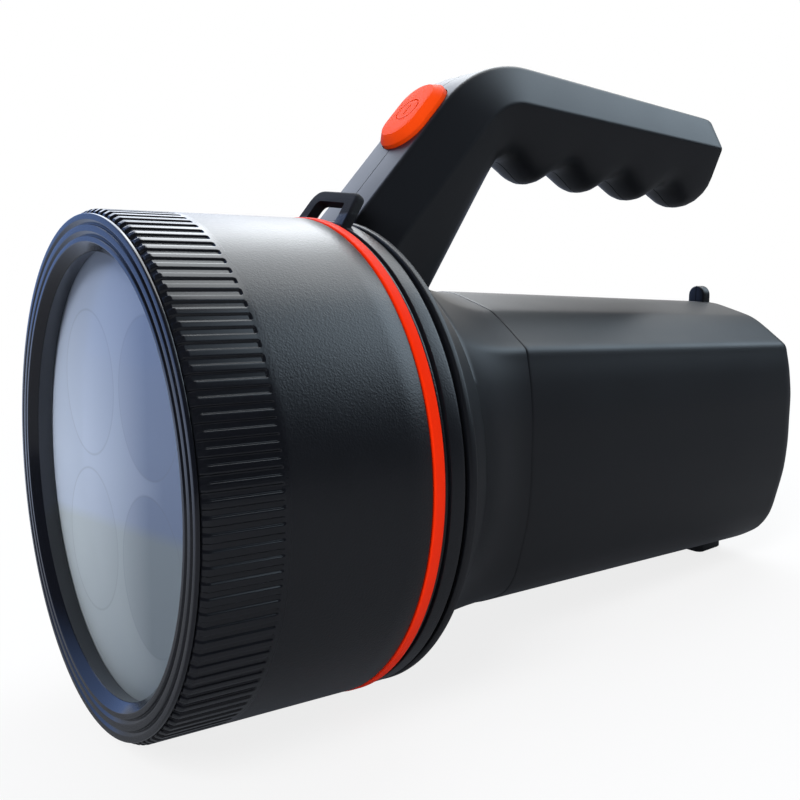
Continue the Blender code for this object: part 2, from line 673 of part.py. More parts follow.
def build_loop_form(torch):
    """Strap loop on the collar: a plate arch that leans back towards the handle."""
    turn = Matrix.Rotation(math.radians(LOOP_TURN_DEG), 4, "Y")
    stand = Matrix.Rotation(math.pi / 2 - math.radians(LOOP_LEAN_DEG), 4, "X")
    place = turn @ Matrix.Translation((0, COLLAR_START_Y + COLLAR_WIDTH / 2, COLLAR_RADIUS)) @ stand
    right = [
        (LOOP_BASE_HALF_WIDTH, -LOOP_FOOT_DEPTH), (LOOP_TOP_HALF_WIDTH, LOOP_REACH - 2 * CHAMFER),
        (LOOP_TOP_HALF_WIDTH - 2 * CHAMFER, LOOP_REACH),
    ]
    outer = right + [(-x, y) for x, y in reversed(right)]
    hole_top = LOOP_REACH - LOOP_BAR
    inner = [(-LOOP_HOLE_HALF_WIDTH, -LOOP_FOOT_DEPTH), (-LOOP_HOLE_HALF_WIDTH, hole_top),
             (LOOP_HOLE_HALF_WIDTH, hole_top), (LOOP_HOLE_HALF_WIDTH, -LOOP_FOOT_DEPTH)]
    return torch.plate("loop_arch", outer + inner, LOOP_THICKNESS, place, None)


# Light engine: reflector, emitters, board, heat sink
def cup_centres():
    """Return the four cup axes, nearest the top right first."""
    half = CUP_SPACING / 2
    return [(half, half), (-half, half), (-half, -half), (half, -half)]


def sink_posts():
    """Return the places of the posts that carry the heat sink."""
    angles = [math.pi / 2 + math.pi / RING_STEPS + index * 2 * math.pi / SINK_POST_COUNT
              for index in range(SINK_POST_COUNT)]
    return [(SINK_POST_CIRCLE * math.cos(angle), SINK_POST_CIRCLE * math.sin(angle)) for angle in angles]


def board_screw_places():
    """Return the places of the screws between the cups."""
    reach = BOARD_SCREW_CIRCLE
    return [(reach, 0.0), (0.0, reach), (-reach, 0.0), (0.0, -reach)]


def cup_profile(grow):
    """Return a parabolic cup's (radius, station) points, mouth last."""
    points = []
    for step in range(CUP_RINGS + 1):
        share = step / CUP_RINGS
        radius = CUP_FLOOR_RADIUS + (CUP_RADIUS - CUP_FLOOR_RADIUS) * math.sqrt(share)
        points.append((radius + grow, CUP_BACK_Y - CUP_DEPTH * share))
    return points


def build_reflector(torch):
    """Plate with four parabolic cups and a hole for an emitter in each floor."""
    plate_back = REFLECTOR_FRONT_Y + REFLECTOR_PLATE
    middle = along_y(0, REFLECTOR_FRONT_Y + REFLECTOR_SKIRT / 2, 0)
    reflector = torch.rod("reflector", REFLECTOR_RADIUS, REFLECTOR_SKIRT, middle, "silver", steps=INNER_STEPS)
    recess = torch.rod("reflector_recess", REFLECTOR_RADIUS - REFLECTOR_PLATE, REFLECTOR_SKIRT,
                       along_y(0, plate_back + REFLECTOR_SKIRT / 2, 0), None, steps=INNER_STEPS)
    torch.boolean(reflector, recess, "DIFFERENCE")
    mouth = REFLECTOR_FRONT_Y
    for index, (x, z) in enumerate(cup_centres()):
        outside = cup_profile(CUP_WALL)
        front = plate_back - GAP
        outside = [(0.0, CUP_BACK_Y)] + outside[:-1] + [(outside[-1][0], front), (0.0, front)]
        cup = torch.turned(f"cup_outside_{index}", outside, CUP_STEPS, None)
        cup.location = (x, 0, z)
        torch.boolean(reflector, cup, "UNION")
        inside = cup_profile(0.0)
        floor = CUP_BACK_Y - CUP_WALL
        inside = [(0.0, floor), (CUP_FLOOR_RADIUS, floor)] + inside[1:] + [(CUP_RADIUS, mouth - OVERRUN),
                                                                          (0.0, mouth - OVERRUN)]
        bowl = torch.turned(f"cup_inside_{index}", inside, CUP_STEPS, None)
        bowl.location = (x, 0, z)
        torch.boolean(reflector, bowl, "DIFFERENCE")
        hole = torch.rod(f"led_hole_{index}", LED_HOLE_RADIUS, OVERRUN, along_y(x, CUP_BACK_Y, z), None)
        torch.boolean(reflector, hole, "DIFFERENCE")


def build_light_engine(torch):
    """Four emitters on a round board that is screwed to a finned heat sink."""
    board_back = LED_BOARD_Y + LED_BOARD_THICKNESS
    profile = [(0.0, board_back), (LED_BOARD_RADIUS, board_back), (LED_BOARD_RADIUS, LED_BOARD_Y),
               (0.0, LED_BOARD_Y)]
    board = torch.turned("led_board", profile, INNER_STEPS, "board_white")
    for index, (x, z) in enumerate(cup_centres(), start=1):
        centre = LED_BOARD_Y - GAP - LED_HEIGHT / 2
        form = bmesh.new()
        add_box(form, (LED_SIZE, LED_HEIGHT, LED_SIZE), (x, centre, z))
        led = torch.add(f"uv_led_{index}", to_mesh("led", form), "led_yellow", smooth=False)
        dome = bmesh.new()
        bmesh.ops.create_uvsphere(dome, u_segments=SCREW_STEPS, v_segments=SCREW_STEPS // 2,
                                  radius=LED_DOME_RADIUS,
                                  matrix=Matrix.Translation((x, centre - LED_HEIGHT / 2, z)))
        torch.boolean(led, torch.add(f"led_dome_{index}", to_mesh("dome", dome), None), "UNION")
    fin_end = SINK_BACK_Y + SINK_FIN_HEIGHT
    profile = [(0.0, SINK_BACK_Y), (SINK_RADIUS, SINK_BACK_Y), (SINK_RADIUS, SINK_FRONT_Y),
               (0.0, SINK_FRONT_Y)]
    sink = torch.turned("heat_sink", profile, INNER_STEPS, "aluminium")
    pitch = 2 * (SINK_RADIUS - SINK_FIN_THICKNESS) / SINK_FIN_COUNT
    fins = bmesh.new()
    for index in range(SINK_FIN_COUNT):
        x = (index - (SINK_FIN_COUNT - 1) / 2) * pitch
        reach = math.sqrt(SINK_RADIUS ** 2 - (abs(x) + SINK_FIN_THICKNESS) ** 2)
        depth = SINK_FIN_HEIGHT + SINK_BASE / 2
        add_box(fins, (SINK_FIN_THICKNESS, depth, 2 * reach - SINK_BASE), (x, fin_end - depth / 2, 0))
    torch.boolean(sink, torch.add("sink_fins", to_mesh("sink_fins", fins), None), "UNION")
    plate_front = COLLAR_END_Y - BASE_PLATE_THICKNESS
    post_length = plate_front - GAP - SINK_BACK_Y
    lead_hole = torch.rod("lead_hole", LEAD_HOLE_RADIUS, 2 * SINK_BASE + OVERRUN,
                          along_y(0, SINK_FRONT_Y, 0), None)
    torch.boolean(sink, lead_hole, "DIFFERENCE")
    for index, (x, z) in enumerate(sink_posts()):
        post = torch.rod(f"sink_post_{index}", SINK_POST_RADIUS, post_length + SINK_BASE / 2,
                         along_y(x, SINK_BACK_Y + (post_length - SINK_BASE / 2) / 2, z), None)
        torch.boolean(sink, post, "UNION")
        pilot = torch.rod(f"post_pilot_{index}", SCREW_RADIUS + GAP, 2 * SCREW_GRIP,
                          along_y(x, plate_front - GAP, z), None)
        torch.boolean(sink, pilot, "DIFFERENCE")
        seat = Matrix.Translation((x, COLLAR_END_Y, z)) @ Matrix.Rotation(math.pi / 2, 4, "X")
        add_screw(torch, f"head_screw_{index + 1}", seat, BASE_PLATE_THICKNESS + SCREW_GRIP - CHAMFER)
    for index, (x, z) in enumerate(board_screw_places()):
        hole = torch.rod(f"board_hole_{index}", SCREW_RADIUS + GAP, SCREW_GRIP,
                         along_y(x, LED_BOARD_Y, z), None)
        torch.boolean(board, hole, "DIFFERENCE")
        torch.boolean(sink, hole, "DIFFERENCE")
        add_screw(torch, f"led_board_screw_{index + 1}", along_y(x, LED_BOARD_Y, z),
                  LED_BOARD_THICKNESS + SINK_BASE / 2)


def add_screw(torch, name, seat, length):
    """Add a pan-head screw: its head rests on the seat and it runs along local +Z."""
    form = bmesh.new()
    lift = Matrix.Translation((0, 0, -GAP - SCREW_HEAD_HEIGHT / 2))
    add_rod(form, SCREW_HEAD_RADIUS, SCREW_HEAD_HEIGHT, seat @ lift, SCREW_STEPS)
    obj = torch.add(name, to_mesh(name, form), "steel")
    shank = torch.rod(name + "_shank", SCREW_RADIUS, length + GAP,
                      seat @ Matrix.Translation((0, 0, length / 2 - GAP)), None)
    slot = torch.block(name + "_slot", (2 * SCREW_HEAD_RADIUS, SCREW_SLOT_DEPTH, 2 * SCREW_SLOT_DEPTH),
                       seat @ Matrix.Translation((0, 0, -GAP - SCREW_HEAD_HEIGHT)), None)
    torch.boolean(obj, shank, "UNION")
    torch.boolean(obj, slot, "DIFFERENCE")


# Housing: body, handle and the two shells
def body_outline(y, inset):
    """Return the body's section at a station as (x, z) points, drawn in by inset."""
    share = min(max((y - BODY_FRONT_Y) / (BODY_END_Y - BODY_FRONT_Y), 0.0), 1.0)
    half_width = BODY_HALF_WIDTH * (1 + share * (BODY_REAR_WIDTH_SHARE - 1)) - inset
    top = BODY_TOP * (1 + share * (BODY_REAR_TOP_SHARE - 1)) - inset
    bottom = BODY_BOTTOM * (1 + share * (BODY_REAR_BOTTOM_SHARE - 1)) - inset
    right = [(half_width * across, up * (top if up > 0 else bottom)) for across, up in BODY_OUTLINE_SHARES]
    left = [(-x, z) for x, z in reversed(right[1:-1])]
    return right + left


def circle_like(outline, radius):
    """Return the points of a circle in the directions of an outline's points."""
    return [(radius * math.cos(math.atan2(z, x)), radius * math.sin(math.atan2(z, x))) for x, z in outline]


def mixed(first, second, share):
    """Return an outline part of the way from one to another."""
    return [(a + (c - a) * share, b + (d - b) * share) for (a, b), (c, d) in zip(first, second)]


def ring_at(y, outline):
    """Place an outline at a station."""
    return [(x, y, z) for x, z in outline]


def build_body_form(torch, name):
    """The body's outer form: neck from a circle, step, taper and rounded rear."""
    step_y = BODY_FRONT_Y - BODY_STEP_LENGTH
    stepped = body_outline(BODY_FRONT_Y, BODY_STEP)
    neck = circle_like(stepped, NECK_RADIUS - GAP)
    middle_y = NECK_START_Y + (step_y - NECK_START_Y) * NECK_MIDDLE_SHARE
    rings = [
        ring_at(CONE_TOP_Y, circle_like(stepped, NECK_RADIUS - CHAMFER)),
        ring_at(NECK_START_Y, neck),
        ring_at(middle_y, mixed(neck, stepped, NECK_BLEND_SHARE)),
        ring_at(step_y, stepped),
        ring_at(BODY_FRONT_Y, body_outline(BODY_FRONT_Y, 0.0)),
    ]
    start = BODY_END_Y - BODY_REAR_RADIUS
    for step in range(REAR_STEPS + 1):
        angle = step / REAR_STEPS * math.pi / 2
        y = start + BODY_REAR_RADIUS * math.sin(angle)
        rings.append(ring_at(y, body_outline(start, BODY_REAR_RADIUS * (1 - math.cos(angle)))))
    return torch.loft(name, rings, None)


def build_body_cavity(torch):
    """The space inside the body, one wall in from its outer form."""
    front = BODY_FRONT_Y - BODY_STEP_LENGTH - SHELL_WALL
    inset = SHELL_WALL + BODY_STEP
    end = BODY_END_Y - SHELL_WALL
    start = BODY_END_Y - BODY_REAR_RADIUS
    rings = [
        ring_at(front, body_outline(BODY_FRONT_Y, inset)),
        ring_at(BODY_FRONT_Y + SHELL_WALL, body_outline(BODY_FRONT_Y, inset)),
        ring_at(BODY_FRONT_Y + 2 * SHELL_WALL, body_outline(BODY_FRONT_Y, SHELL_WALL)),
        ring_at(start, body_outline(start, SHELL_WALL)),
        ring_at(end, body_outline(start, BODY_REAR_RADIUS)),
    ]
    return torch.loft("body_cavity", rings, None)


def bent_line(foot, corner, end, radius):
    """Return points along two straight lines joined by an arc, and each one's share."""
    foot, corner, end = Vector(foot), Vector(corner), Vector(end)
    first = (corner - foot).normalized()
    second = (end - corner).normalized()
    turn = first.angle(second)
    reach = radius * math.tan(turn / 2)
    enter = corner - first * reach
    leave = corner + second * reach
    inward = Vector((first.y, -first.x))
    centre = enter + inward * radius
    points = [foot.lerp(enter, step / ARM_STEPS) for step in range(ARM_STEPS)]
    for step in range(ARC_STEPS):
        angle = turn * step / ARC_STEPS
        spoke = enter - centre
        points.append(centre + Vector((spoke.x * math.cos(angle) + spoke.y * math.sin(angle),
                                       spoke.y * math.cos(angle) - spoke.x * math.sin(angle))))
    return points, leave


def grip_line(leave, end, count):
    """Return points along the straight run of the grip."""
    return [leave.lerp(Vector(end), step / count) for step in range(count + 1)]


def finger_rise(y):
    """Return how far the underside rises above the crests at a station."""
    last = FIRST_CREST_Y + (FINGER_COUNT - 1) * FINGER_PITCH
    if y > last:
        return GRIP_END_RISE * ((y - last) / (GRIP_END_Y - last)) ** 2
    return FINGER_DEPTH * math.sin(math.pi * (y - FIRST_CREST_Y) / FINGER_PITCH) ** 2


def handle_sections(inset, fingers):
    """Return the handle's sections from the arm's root to the grip's end."""
    end_y = GRIP_END_Y - inset
    lines = []
    count = FINGER_COUNT * FINGER_STEPS if fingers else ARM_STEPS
    for foot, corner, end_z, radius in (
            ((ARM_FOOT_Y, ARM_FOOT_Z), (ARM_CORNER_Y, ARM_CORNER_Z), GRIP_END_Z, TOP_BEND_RADIUS),
            ((RIDGE_FOOT_Y, RIDGE_FOOT_Z), (RIDGE_CORNER_Y, RIDGE_CORNER_Z), RIDGE_END_Z, RIDGE_BEND_RADIUS),
            ((REAR_FOOT_Y, REAR_FOOT_Z), (REAR_CORNER_Y, REAR_CORNER_Z), UNDER_END_Z, REAR_BEND_RADIUS)):
        points, leave = bent_line(foot, corner, (end_y, end_z), radius)
        lines.append(points + grip_line(leave, (end_y, end_z), count))
    root = (Vector((RIM_END_Y - CHAMFER, ARM_ROOT_Z)), Vector((RIDGE_FOOT_Y, ARM_ROOT_Z)),
            Vector((REAR_FOOT_Y - CHAMFER, ARM_ROOT_Z - REAR_ROOT_DROP)))
    rings = []
    for index, (crown, side, keel) in enumerate([root] + list(zip(*lines))):
        drop = FINGER_DEPTH - finger_rise(keel.x) if fingers and index > ARM_STEPS + ARC_STEPS else 0.0
        inward = (keel - crown).normalized() * inset
        crown = crown + inward
        crest = keel - inward - Vector((0.0, drop))
        keel_half = GRIP_UNDER_HALF_WIDTH - inset - CREST_NARROWING * drop / FINGER_DEPTH
        side_half = GRIP_RIDGE_HALF_WIDTH - inset
        top_half = GRIP_TOP_HALF_WIDTH - inset
        rings.append([(top_half, *crown), (side_half, *side), (keel_half, *crest), (-keel_half, *crest),
                      (-side_half, *side), (-top_half, *crown)])
    return rings


def build_flange_form(torch):
    """The housing's front: wall, groove, rim and cone down to the neck."""
    edge = COLLAR_RADIUS - CHAMFER
    groove = COLLAR_RADIUS - RIM_GROOVE_DEPTH
    profile = [
        (0.0, NECK_START_Y), (NECK_RADIUS, NECK_START_Y), (CONE_TOP_RADIUS, CONE_TOP_Y), (edge, RIM_END_Y),
        (COLLAR_RADIUS, RIM_END_Y - CHAMFER), (COLLAR_RADIUS, RIM_START_Y + CHAMFER), (edge, RIM_START_Y),
        (groove, RIM_START_Y), (groove, RIM_FRONT_Y), (0.0, RIM_FRONT_Y),
    ]
    return torch.turned("flange_form", profile, RING_STEPS, None)


def build_flange_cavity(torch):
    """The opening that clamps the hub, and the cone-shaped space behind it."""
    throat = HUB_RADIUS + GAP
    lip = HUB_RADIUS + HUB_LIP + GAP
    deep = BODY_FRONT_Y - BODY_STEP_LENGTH
    narrow = BODY_HALF_WIDTH - 2 * SHELL_WALL
    profile = [
        (0.0, deep), (narrow, deep), (lip, LIP_END_Y + BODY_STEP), (lip, HUB_WALL_END_Y),
        (throat, HUB_WALL_END_Y), (throat, RIM_FRONT_Y - OVERRUN), (0.0, RIM_FRONT_Y - OVERRUN),
    ]
    return torch.turned("flange_cavity", profile, RING_STEPS, None)


def build_foot_form(torch):
    """Low moulded foot, its underside parallel to the ground that the torch rests on."""
    height = FOOT_ROOT
    place = Matrix.Translation((0, FOOT_Y, -FOOT_DEPTH)) @ Matrix.Rotation(REST_TILT, 4, "X")
    return torch.block("foot_form", (2 * FOOT_HALF_WIDTH, FOOT_LENGTH, height),
                       place @ Matrix.Translation((0, 0, height / 2)), None)


def build_stud_form(torch):
    """Round-topped stud on the crown of the body, near its rear."""
    half = STUD_WIDTH / 2
    spring = STUD_TOP_Z - half
    outline = [(half, spring - STUD_ROOT)]
    for step in range(ARC_STEPS + 1):
        angle = math.pi * step / ARC_STEPS
        outline.append((half * math.cos(angle), spring + half * math.sin(angle)))
    outline.append((-half, spring - STUD_ROOT))
    place = Matrix.Translation((0, STUD_Y, 0)) @ Matrix.Rotation(math.pi / 2, 4, "X")
    return torch.plate("stud_form", outline, STUD_THICKNESS, place, None)


def screw_places(torch, body_form, handle_form):
    """Return each shell screw's (y, z, seat, right reach) inside the housing."""
    places = []
    for along, up in BODY_SCREW_SHARES:
        y = BODY_FRONT_Y + along * (BODY_END_Y - BODY_FRONT_Y)
        z = up * (BODY_TOP if up > 0 else BODY_BOTTOM)
        places.append((y, z, BODY_SCREW_SEAT, wall_reach(body_form, y, z)))
    along, up = ARM_SCREW_SHARES
    foot = Vector((ARM_FOOT_Y, ARM_FOOT_Z))
    rear = Vector((REAR_CORNER_Y, REAR_FOOT_Z))
    place = Vector((foot.x + along * (rear.x - foot.x), rear.y + up * (ARM_CORNER_Z - rear.y)))
    places.append((place.x, place.y, HANDLE_SCREW_SEAT, wall_reach(handle_form, place.x, place.y)))
    along, up = GRIP_SCREW_SHARES
    y = ARM_CORNER_Y + along * (GRIP_END_Y - ARM_CORNER_Y)
    z = UNDER_END_Z + up * (GRIP_END_Z - UNDER_END_Z)
    places.append((y, z, HANDLE_SCREW_SEAT, wall_reach(handle_form, y, z)))
    return places


def wall_reach(form, y, z):
    """Return how far the middle of a form's right wall lies from the parting plane."""
    tree = BVHTree.FromPolygons([v.co for v in form.data.vertices], [p.vertices for p in form.data.polygons])
    hit = tree.ray_cast(Vector((0.0, y, z)), Vector((1.0, 0.0, 0.0)))
    return hit[0].x - SHELL_WALL


def button_matrix():
    """Return the frame of the button: on the arm's front face, +Z out, +Y up the arm."""
    along = Vector((0.0, math.cos(ARM_ANGLE), math.sin(ARM_ANGLE)))
    place = Vector((0.0, ARM_FOOT_Y, ARM_FOOT_Z)) + along * BUTTON_ALONG
    return Matrix.Translation(place) @ Matrix.Rotation(ARM_ANGLE, 4, "X")


def holder_box():
    """Return the battery holder's size and centre."""
    side = 2 * CELL_PITCH + 2 * HOLDER_MARGIN
    length = CELL_LENGTH + 2 * GAP + 2 * HOLDER_END
    return (side, length, side), (0.0, CELL_START_Y + CELL_LENGTH / 2, PACK_CENTRE_Z)


def build_ribs(torch):
    """Cross ribs that carry the battery holder and the switch board."""
    size, centre = holder_box()
    ribs = bmesh.new()
    for side in (-1, 1):
        y = centre[1] + side * (size[1] - RIB_THICKNESS) / 2
        low_top = centre[2] - size[2] / 2 - GAP
        low_foot = -BODY_BOTTOM + SHELL_WALL + CHAMFER
        add_box(ribs, (2 * RIB_HALF_WIDTH, RIB_THICKNESS, low_top - low_foot),
                (0.0, y, (low_top + low_foot) / 2))
        high_foot = centre[2] + size[2] / 2 + GAP
        high_top = body_outline(y, SHELL_WALL / 2)[0][1]
        add_box(ribs, (RIB_HALF_WIDTH, RIB_THICKNESS, high_top - high_foot),
                (0.0, y, (high_top + high_foot) / 2))
    return torch.add("holder_ribs", to_mesh("holder_ribs", ribs), None)


def add_box(form, size, centre):
    """Add a box to a bmesh."""
    bmesh.ops.create_cube(form, size=1.0, matrix=Matrix.Translation(centre) @ Matrix.Diagonal((*size, 1.0)))


def build_shells(torch):
    """Right and left halves of the housing, cut from one hollow form."""
    body_form = build_body_form(torch, "body_form")
    handle_form = torch.loft("handle_form", handle_sections(0.0, True), None)
    add = [build_flange_form(torch), handle_form, build_foot_form(torch), build_stud_form(torch)]
    hollow = [build_flange_cavity(torch), build_body_cavity(torch),
              torch.loft("handle_cavity", handle_sections(HANDLE_WALL, False), None)]
    places = screw_places(torch, body_form, handle_form)
    bosses = bmesh.new()
    wells = bmesh.new()
    holes = bmesh.new()
    for y, z, seat, reach in places:
        add_rod(bosses, SCREW_HEAD_RADIUS + GAP + BOSS_WALL, 2 * reach, along_x(0, y, z), SCREW_STEPS)
        outside = reach + 2 * SHELL_WALL
        add_rod(wells, SCREW_HEAD_RADIUS + GAP, outside - seat, along_x(-(outside + seat) / 2, y, z),
                SCREW_STEPS)
        start = -seat - CHAMFER
        end = SCREW_GRIP + CHAMFER
        add_rod(holes, SCREW_RADIUS + GAP, end - start, along_x((start + end) / 2, y, z), SCREW_STEPS)
    inner_wall_y = BODY_END_Y - SHELL_WALL
    socket_boss = torch.rod("socket_boss", COVER_RADIUS + 2 * SHELL_WALL, COVER_BOSS_DEPTH + SHELL_WALL,
                            along_y(0, inner_wall_y - (COVER_BOSS_DEPTH - SHELL_WALL) / 2, SOCKET_Z), None,
                            steps=CUP_STEPS)
    inside = [torch.add("screw_bosses", to_mesh("bosses", bosses), None), build_ribs(torch), socket_boss]
    inside += build_switch_ribs(torch)
    cuts = [torch.add("screw_wells", to_mesh("wells", wells), None),
            torch.add("screw_holes", to_mesh("holes", holes), None)]
    cuts += build_button_cuts(torch) + build_cover_cuts(torch)
    reach = BODY_END_Y
    for name, side in (("right_shell", 1), ("left_shell", -1)):
        shell = torch.add(name, body_form.data.copy(), "satin_black")
        half = torch.block(name + "_side", (reach, 2 * reach, 2 * reach),
                           Matrix.Translation((side * (reach + PARTING_GAP) / 2, reach / 2, 0)), None)
        for form in add:
            torch.boolean(shell, form, "UNION")
        for form in hollow:
            torch.boolean(shell, form, "DIFFERENCE")
        for form in inside:
            torch.boolean(shell, form, "UNION")
        for form in cuts:
            torch.boolean(shell, form, "DIFFERENCE")
        torch.boolean(shell, half, "INTERSECT")
    for index, (y, z, seat, reach) in enumerate(places, start=1):
        add_screw(torch, f"shell_screw_{index}", along_x(-seat, y, z), seat + SCREW_GRIP)


# Power button, plunger, switch and its board
def build_button_cuts(torch):
    """Opening in the arm's front face and the pocket for the button's flange."""
    frame = button_matrix()
    clear = 2 * RUNNING_GAP
    opening = rounded_rectangle(BUTTON_LENGTH + clear, BUTTON_WIDTH + clear, BUTTON_CORNER, ARC_STEPS // 2)
    depth = 2 * HANDLE_WALL + 2 * OVERRUN
    hole = torch.plate("button_opening", opening, depth, frame, None)
    wide = clear + 2 * BUTTON_FLANGE
    pocket = rounded_rectangle(BUTTON_LENGTH + wide, BUTTON_WIDTH + wide, BUTTON_CORNER, ARC_STEPS // 2)
    pocket_depth = BUTTON_FLANGE_THICKNESS + BUTTON_TRAVEL + 2 * RUNNING_GAP + OVERRUN
    lift = Matrix.Translation((0, 0, -HANDLE_WALL - pocket_depth / 2))
    return [hole, torch.plate("button_pocket", pocket, pocket_depth, frame @ lift, None)]


def button_levels():
    """Return named depths below the arm's face, along the button's axis."""
    flange_top = HANDLE_WALL + GAP
    flange_foot = flange_top + BUTTON_FLANGE_THICKNESS
    stem_foot = flange_foot + BUTTON_STEM_LENGTH
    switch_top = stem_foot + BUTTON_TRAVEL + RUNNING_GAP
    board_top = switch_top + SWITCH_HEIGHT + GAP
    return flange_top, flange_foot, stem_foot, switch_top, board_top


def build_button(torch):
    """Chamfered orange button with a raised power symbol, a flange and a stem."""
    flange_top, flange_foot, stem_foot = button_levels()[:3]
    axis = torch.empty("button_axis", button_matrix(), torch.axis)

    def ring(level, grow):
        outline = rounded_rectangle(BUTTON_LENGTH + 2 * grow, BUTTON_WIDTH + 2 * grow,
                                    BUTTON_CORNER + grow, ARC_STEPS)
        return [(x, y, level) for x, y in outline]

    rings = [ring(BUTTON_PROUD, -BUTTON_CHAMFER), ring(BUTTON_PROUD - BUTTON_CHAMFER, 0.0),
             ring(-flange_top, 0.0), ring(-flange_top, BUTTON_FLANGE), ring(-flange_foot, BUTTON_FLANGE)]
    button = torch.loft("power_button", rings, "orange", axis)
    stem = torch.rod("button_stem", BUTTON_STEM_RADIUS, BUTTON_STEM_LENGTH + BUTTON_FLANGE_THICKNESS,
                     Matrix.Translation((0, 0, -(stem_foot + flange_top) / 2)), None, axis)
    torch.boolean(button, stem, "UNION")
    outer = POWER_RING_RADIUS + POWER_LINE_WIDTH / 2
    inner = POWER_RING_RADIUS - POWER_LINE_WIDTH / 2
    start = math.radians(90 + POWER_GAP_DEG / 2)
    sweep = math.radians(360 - POWER_GAP_DEG)
    angles = [start + sweep * step / CUP_STEPS for step in range(CUP_STEPS + 1)]
    outline = [(outer * math.cos(a), outer * math.sin(a)) for a in angles]
    outline += [(inner * math.cos(a), inner * math.sin(a)) for a in reversed(angles)]
    lift = Matrix.Translation((0, 0, BUTTON_PROUD))
    arc = torch.plate("power_arc", outline, 2 * POWER_LINE_HEIGHT, lift, None, axis)
    bar = torch.block("power_bar", (POWER_LINE_WIDTH, outer, 2 * POWER_LINE_HEIGHT),
                      lift @ Matrix.Translation((0, outer / 2 + POWER_LINE_WIDTH, 0)), None, axis)
    torch.boolean(button, arc, "UNION")
    torch.boolean(button, bar, "UNION")
    middle = -(stem_foot + GAP + PLUNGER_LENGTH / 2)
    torch.rod("switch_plunger", PLUNGER_RADIUS, PLUNGER_LENGTH, Matrix.Translation((0, 0, middle)),
              "inner_black", axis)


def build_switch(torch):
    """Switch body with a bore for its plunger, on a small board."""
    stem_foot, switch_top, board_top = button_levels()[2:]
    frame = button_matrix()
    middle = Matrix.Translation((0, 0, -switch_top - SWITCH_HEIGHT / 2))
    switch = torch.block("power_switch", (SWITCH_SIZE, SWITCH_SIZE, SWITCH_HEIGHT), frame @ middle,
                         "inner_black")
    reach = stem_foot + GAP + PLUNGER_LENGTH + BUTTON_TRAVEL + GAP
    depth = reach - switch_top
    bore = torch.rod("plunger_bore", PLUNGER_RADIUS + GAP, 2 * depth,
                     frame @ Matrix.Translation((0, 0, -switch_top)), None)
    torch.boolean(switch, bore, "DIFFERENCE")
    place = frame @ Matrix.Translation((0, 0, -board_top - BOARD_THICKNESS / 2))
    torch.block("switch_board", (SWITCH_BOARD_WIDTH, SWITCH_BOARD_LENGTH, BOARD_THICKNESS), place,
                "board_green")


def build_switch_ribs(torch):
    """Two ribs across the arm, under the ends of the switch board."""
    board_top = button_levels()[-1]
    frame = button_matrix()
    depth = 2 * RIB_THICKNESS
    ribs = []
    for side in (-1, 1):
        offset = side * (SWITCH_BOARD_LENGTH - RIB_THICKNESS) / 2
        level = -(board_top + BOARD_THICKNESS + GAP + depth / 2)
        width = 2 * (GRIP_UNDER_HALF_WIDTH + GAP)
        ribs.append(torch.block(f"switch_rib_{side + 2}", (width, RIB_THICKNESS, depth),
                                frame @ Matrix.Translation((0, offset, level)), None))
    return ribs


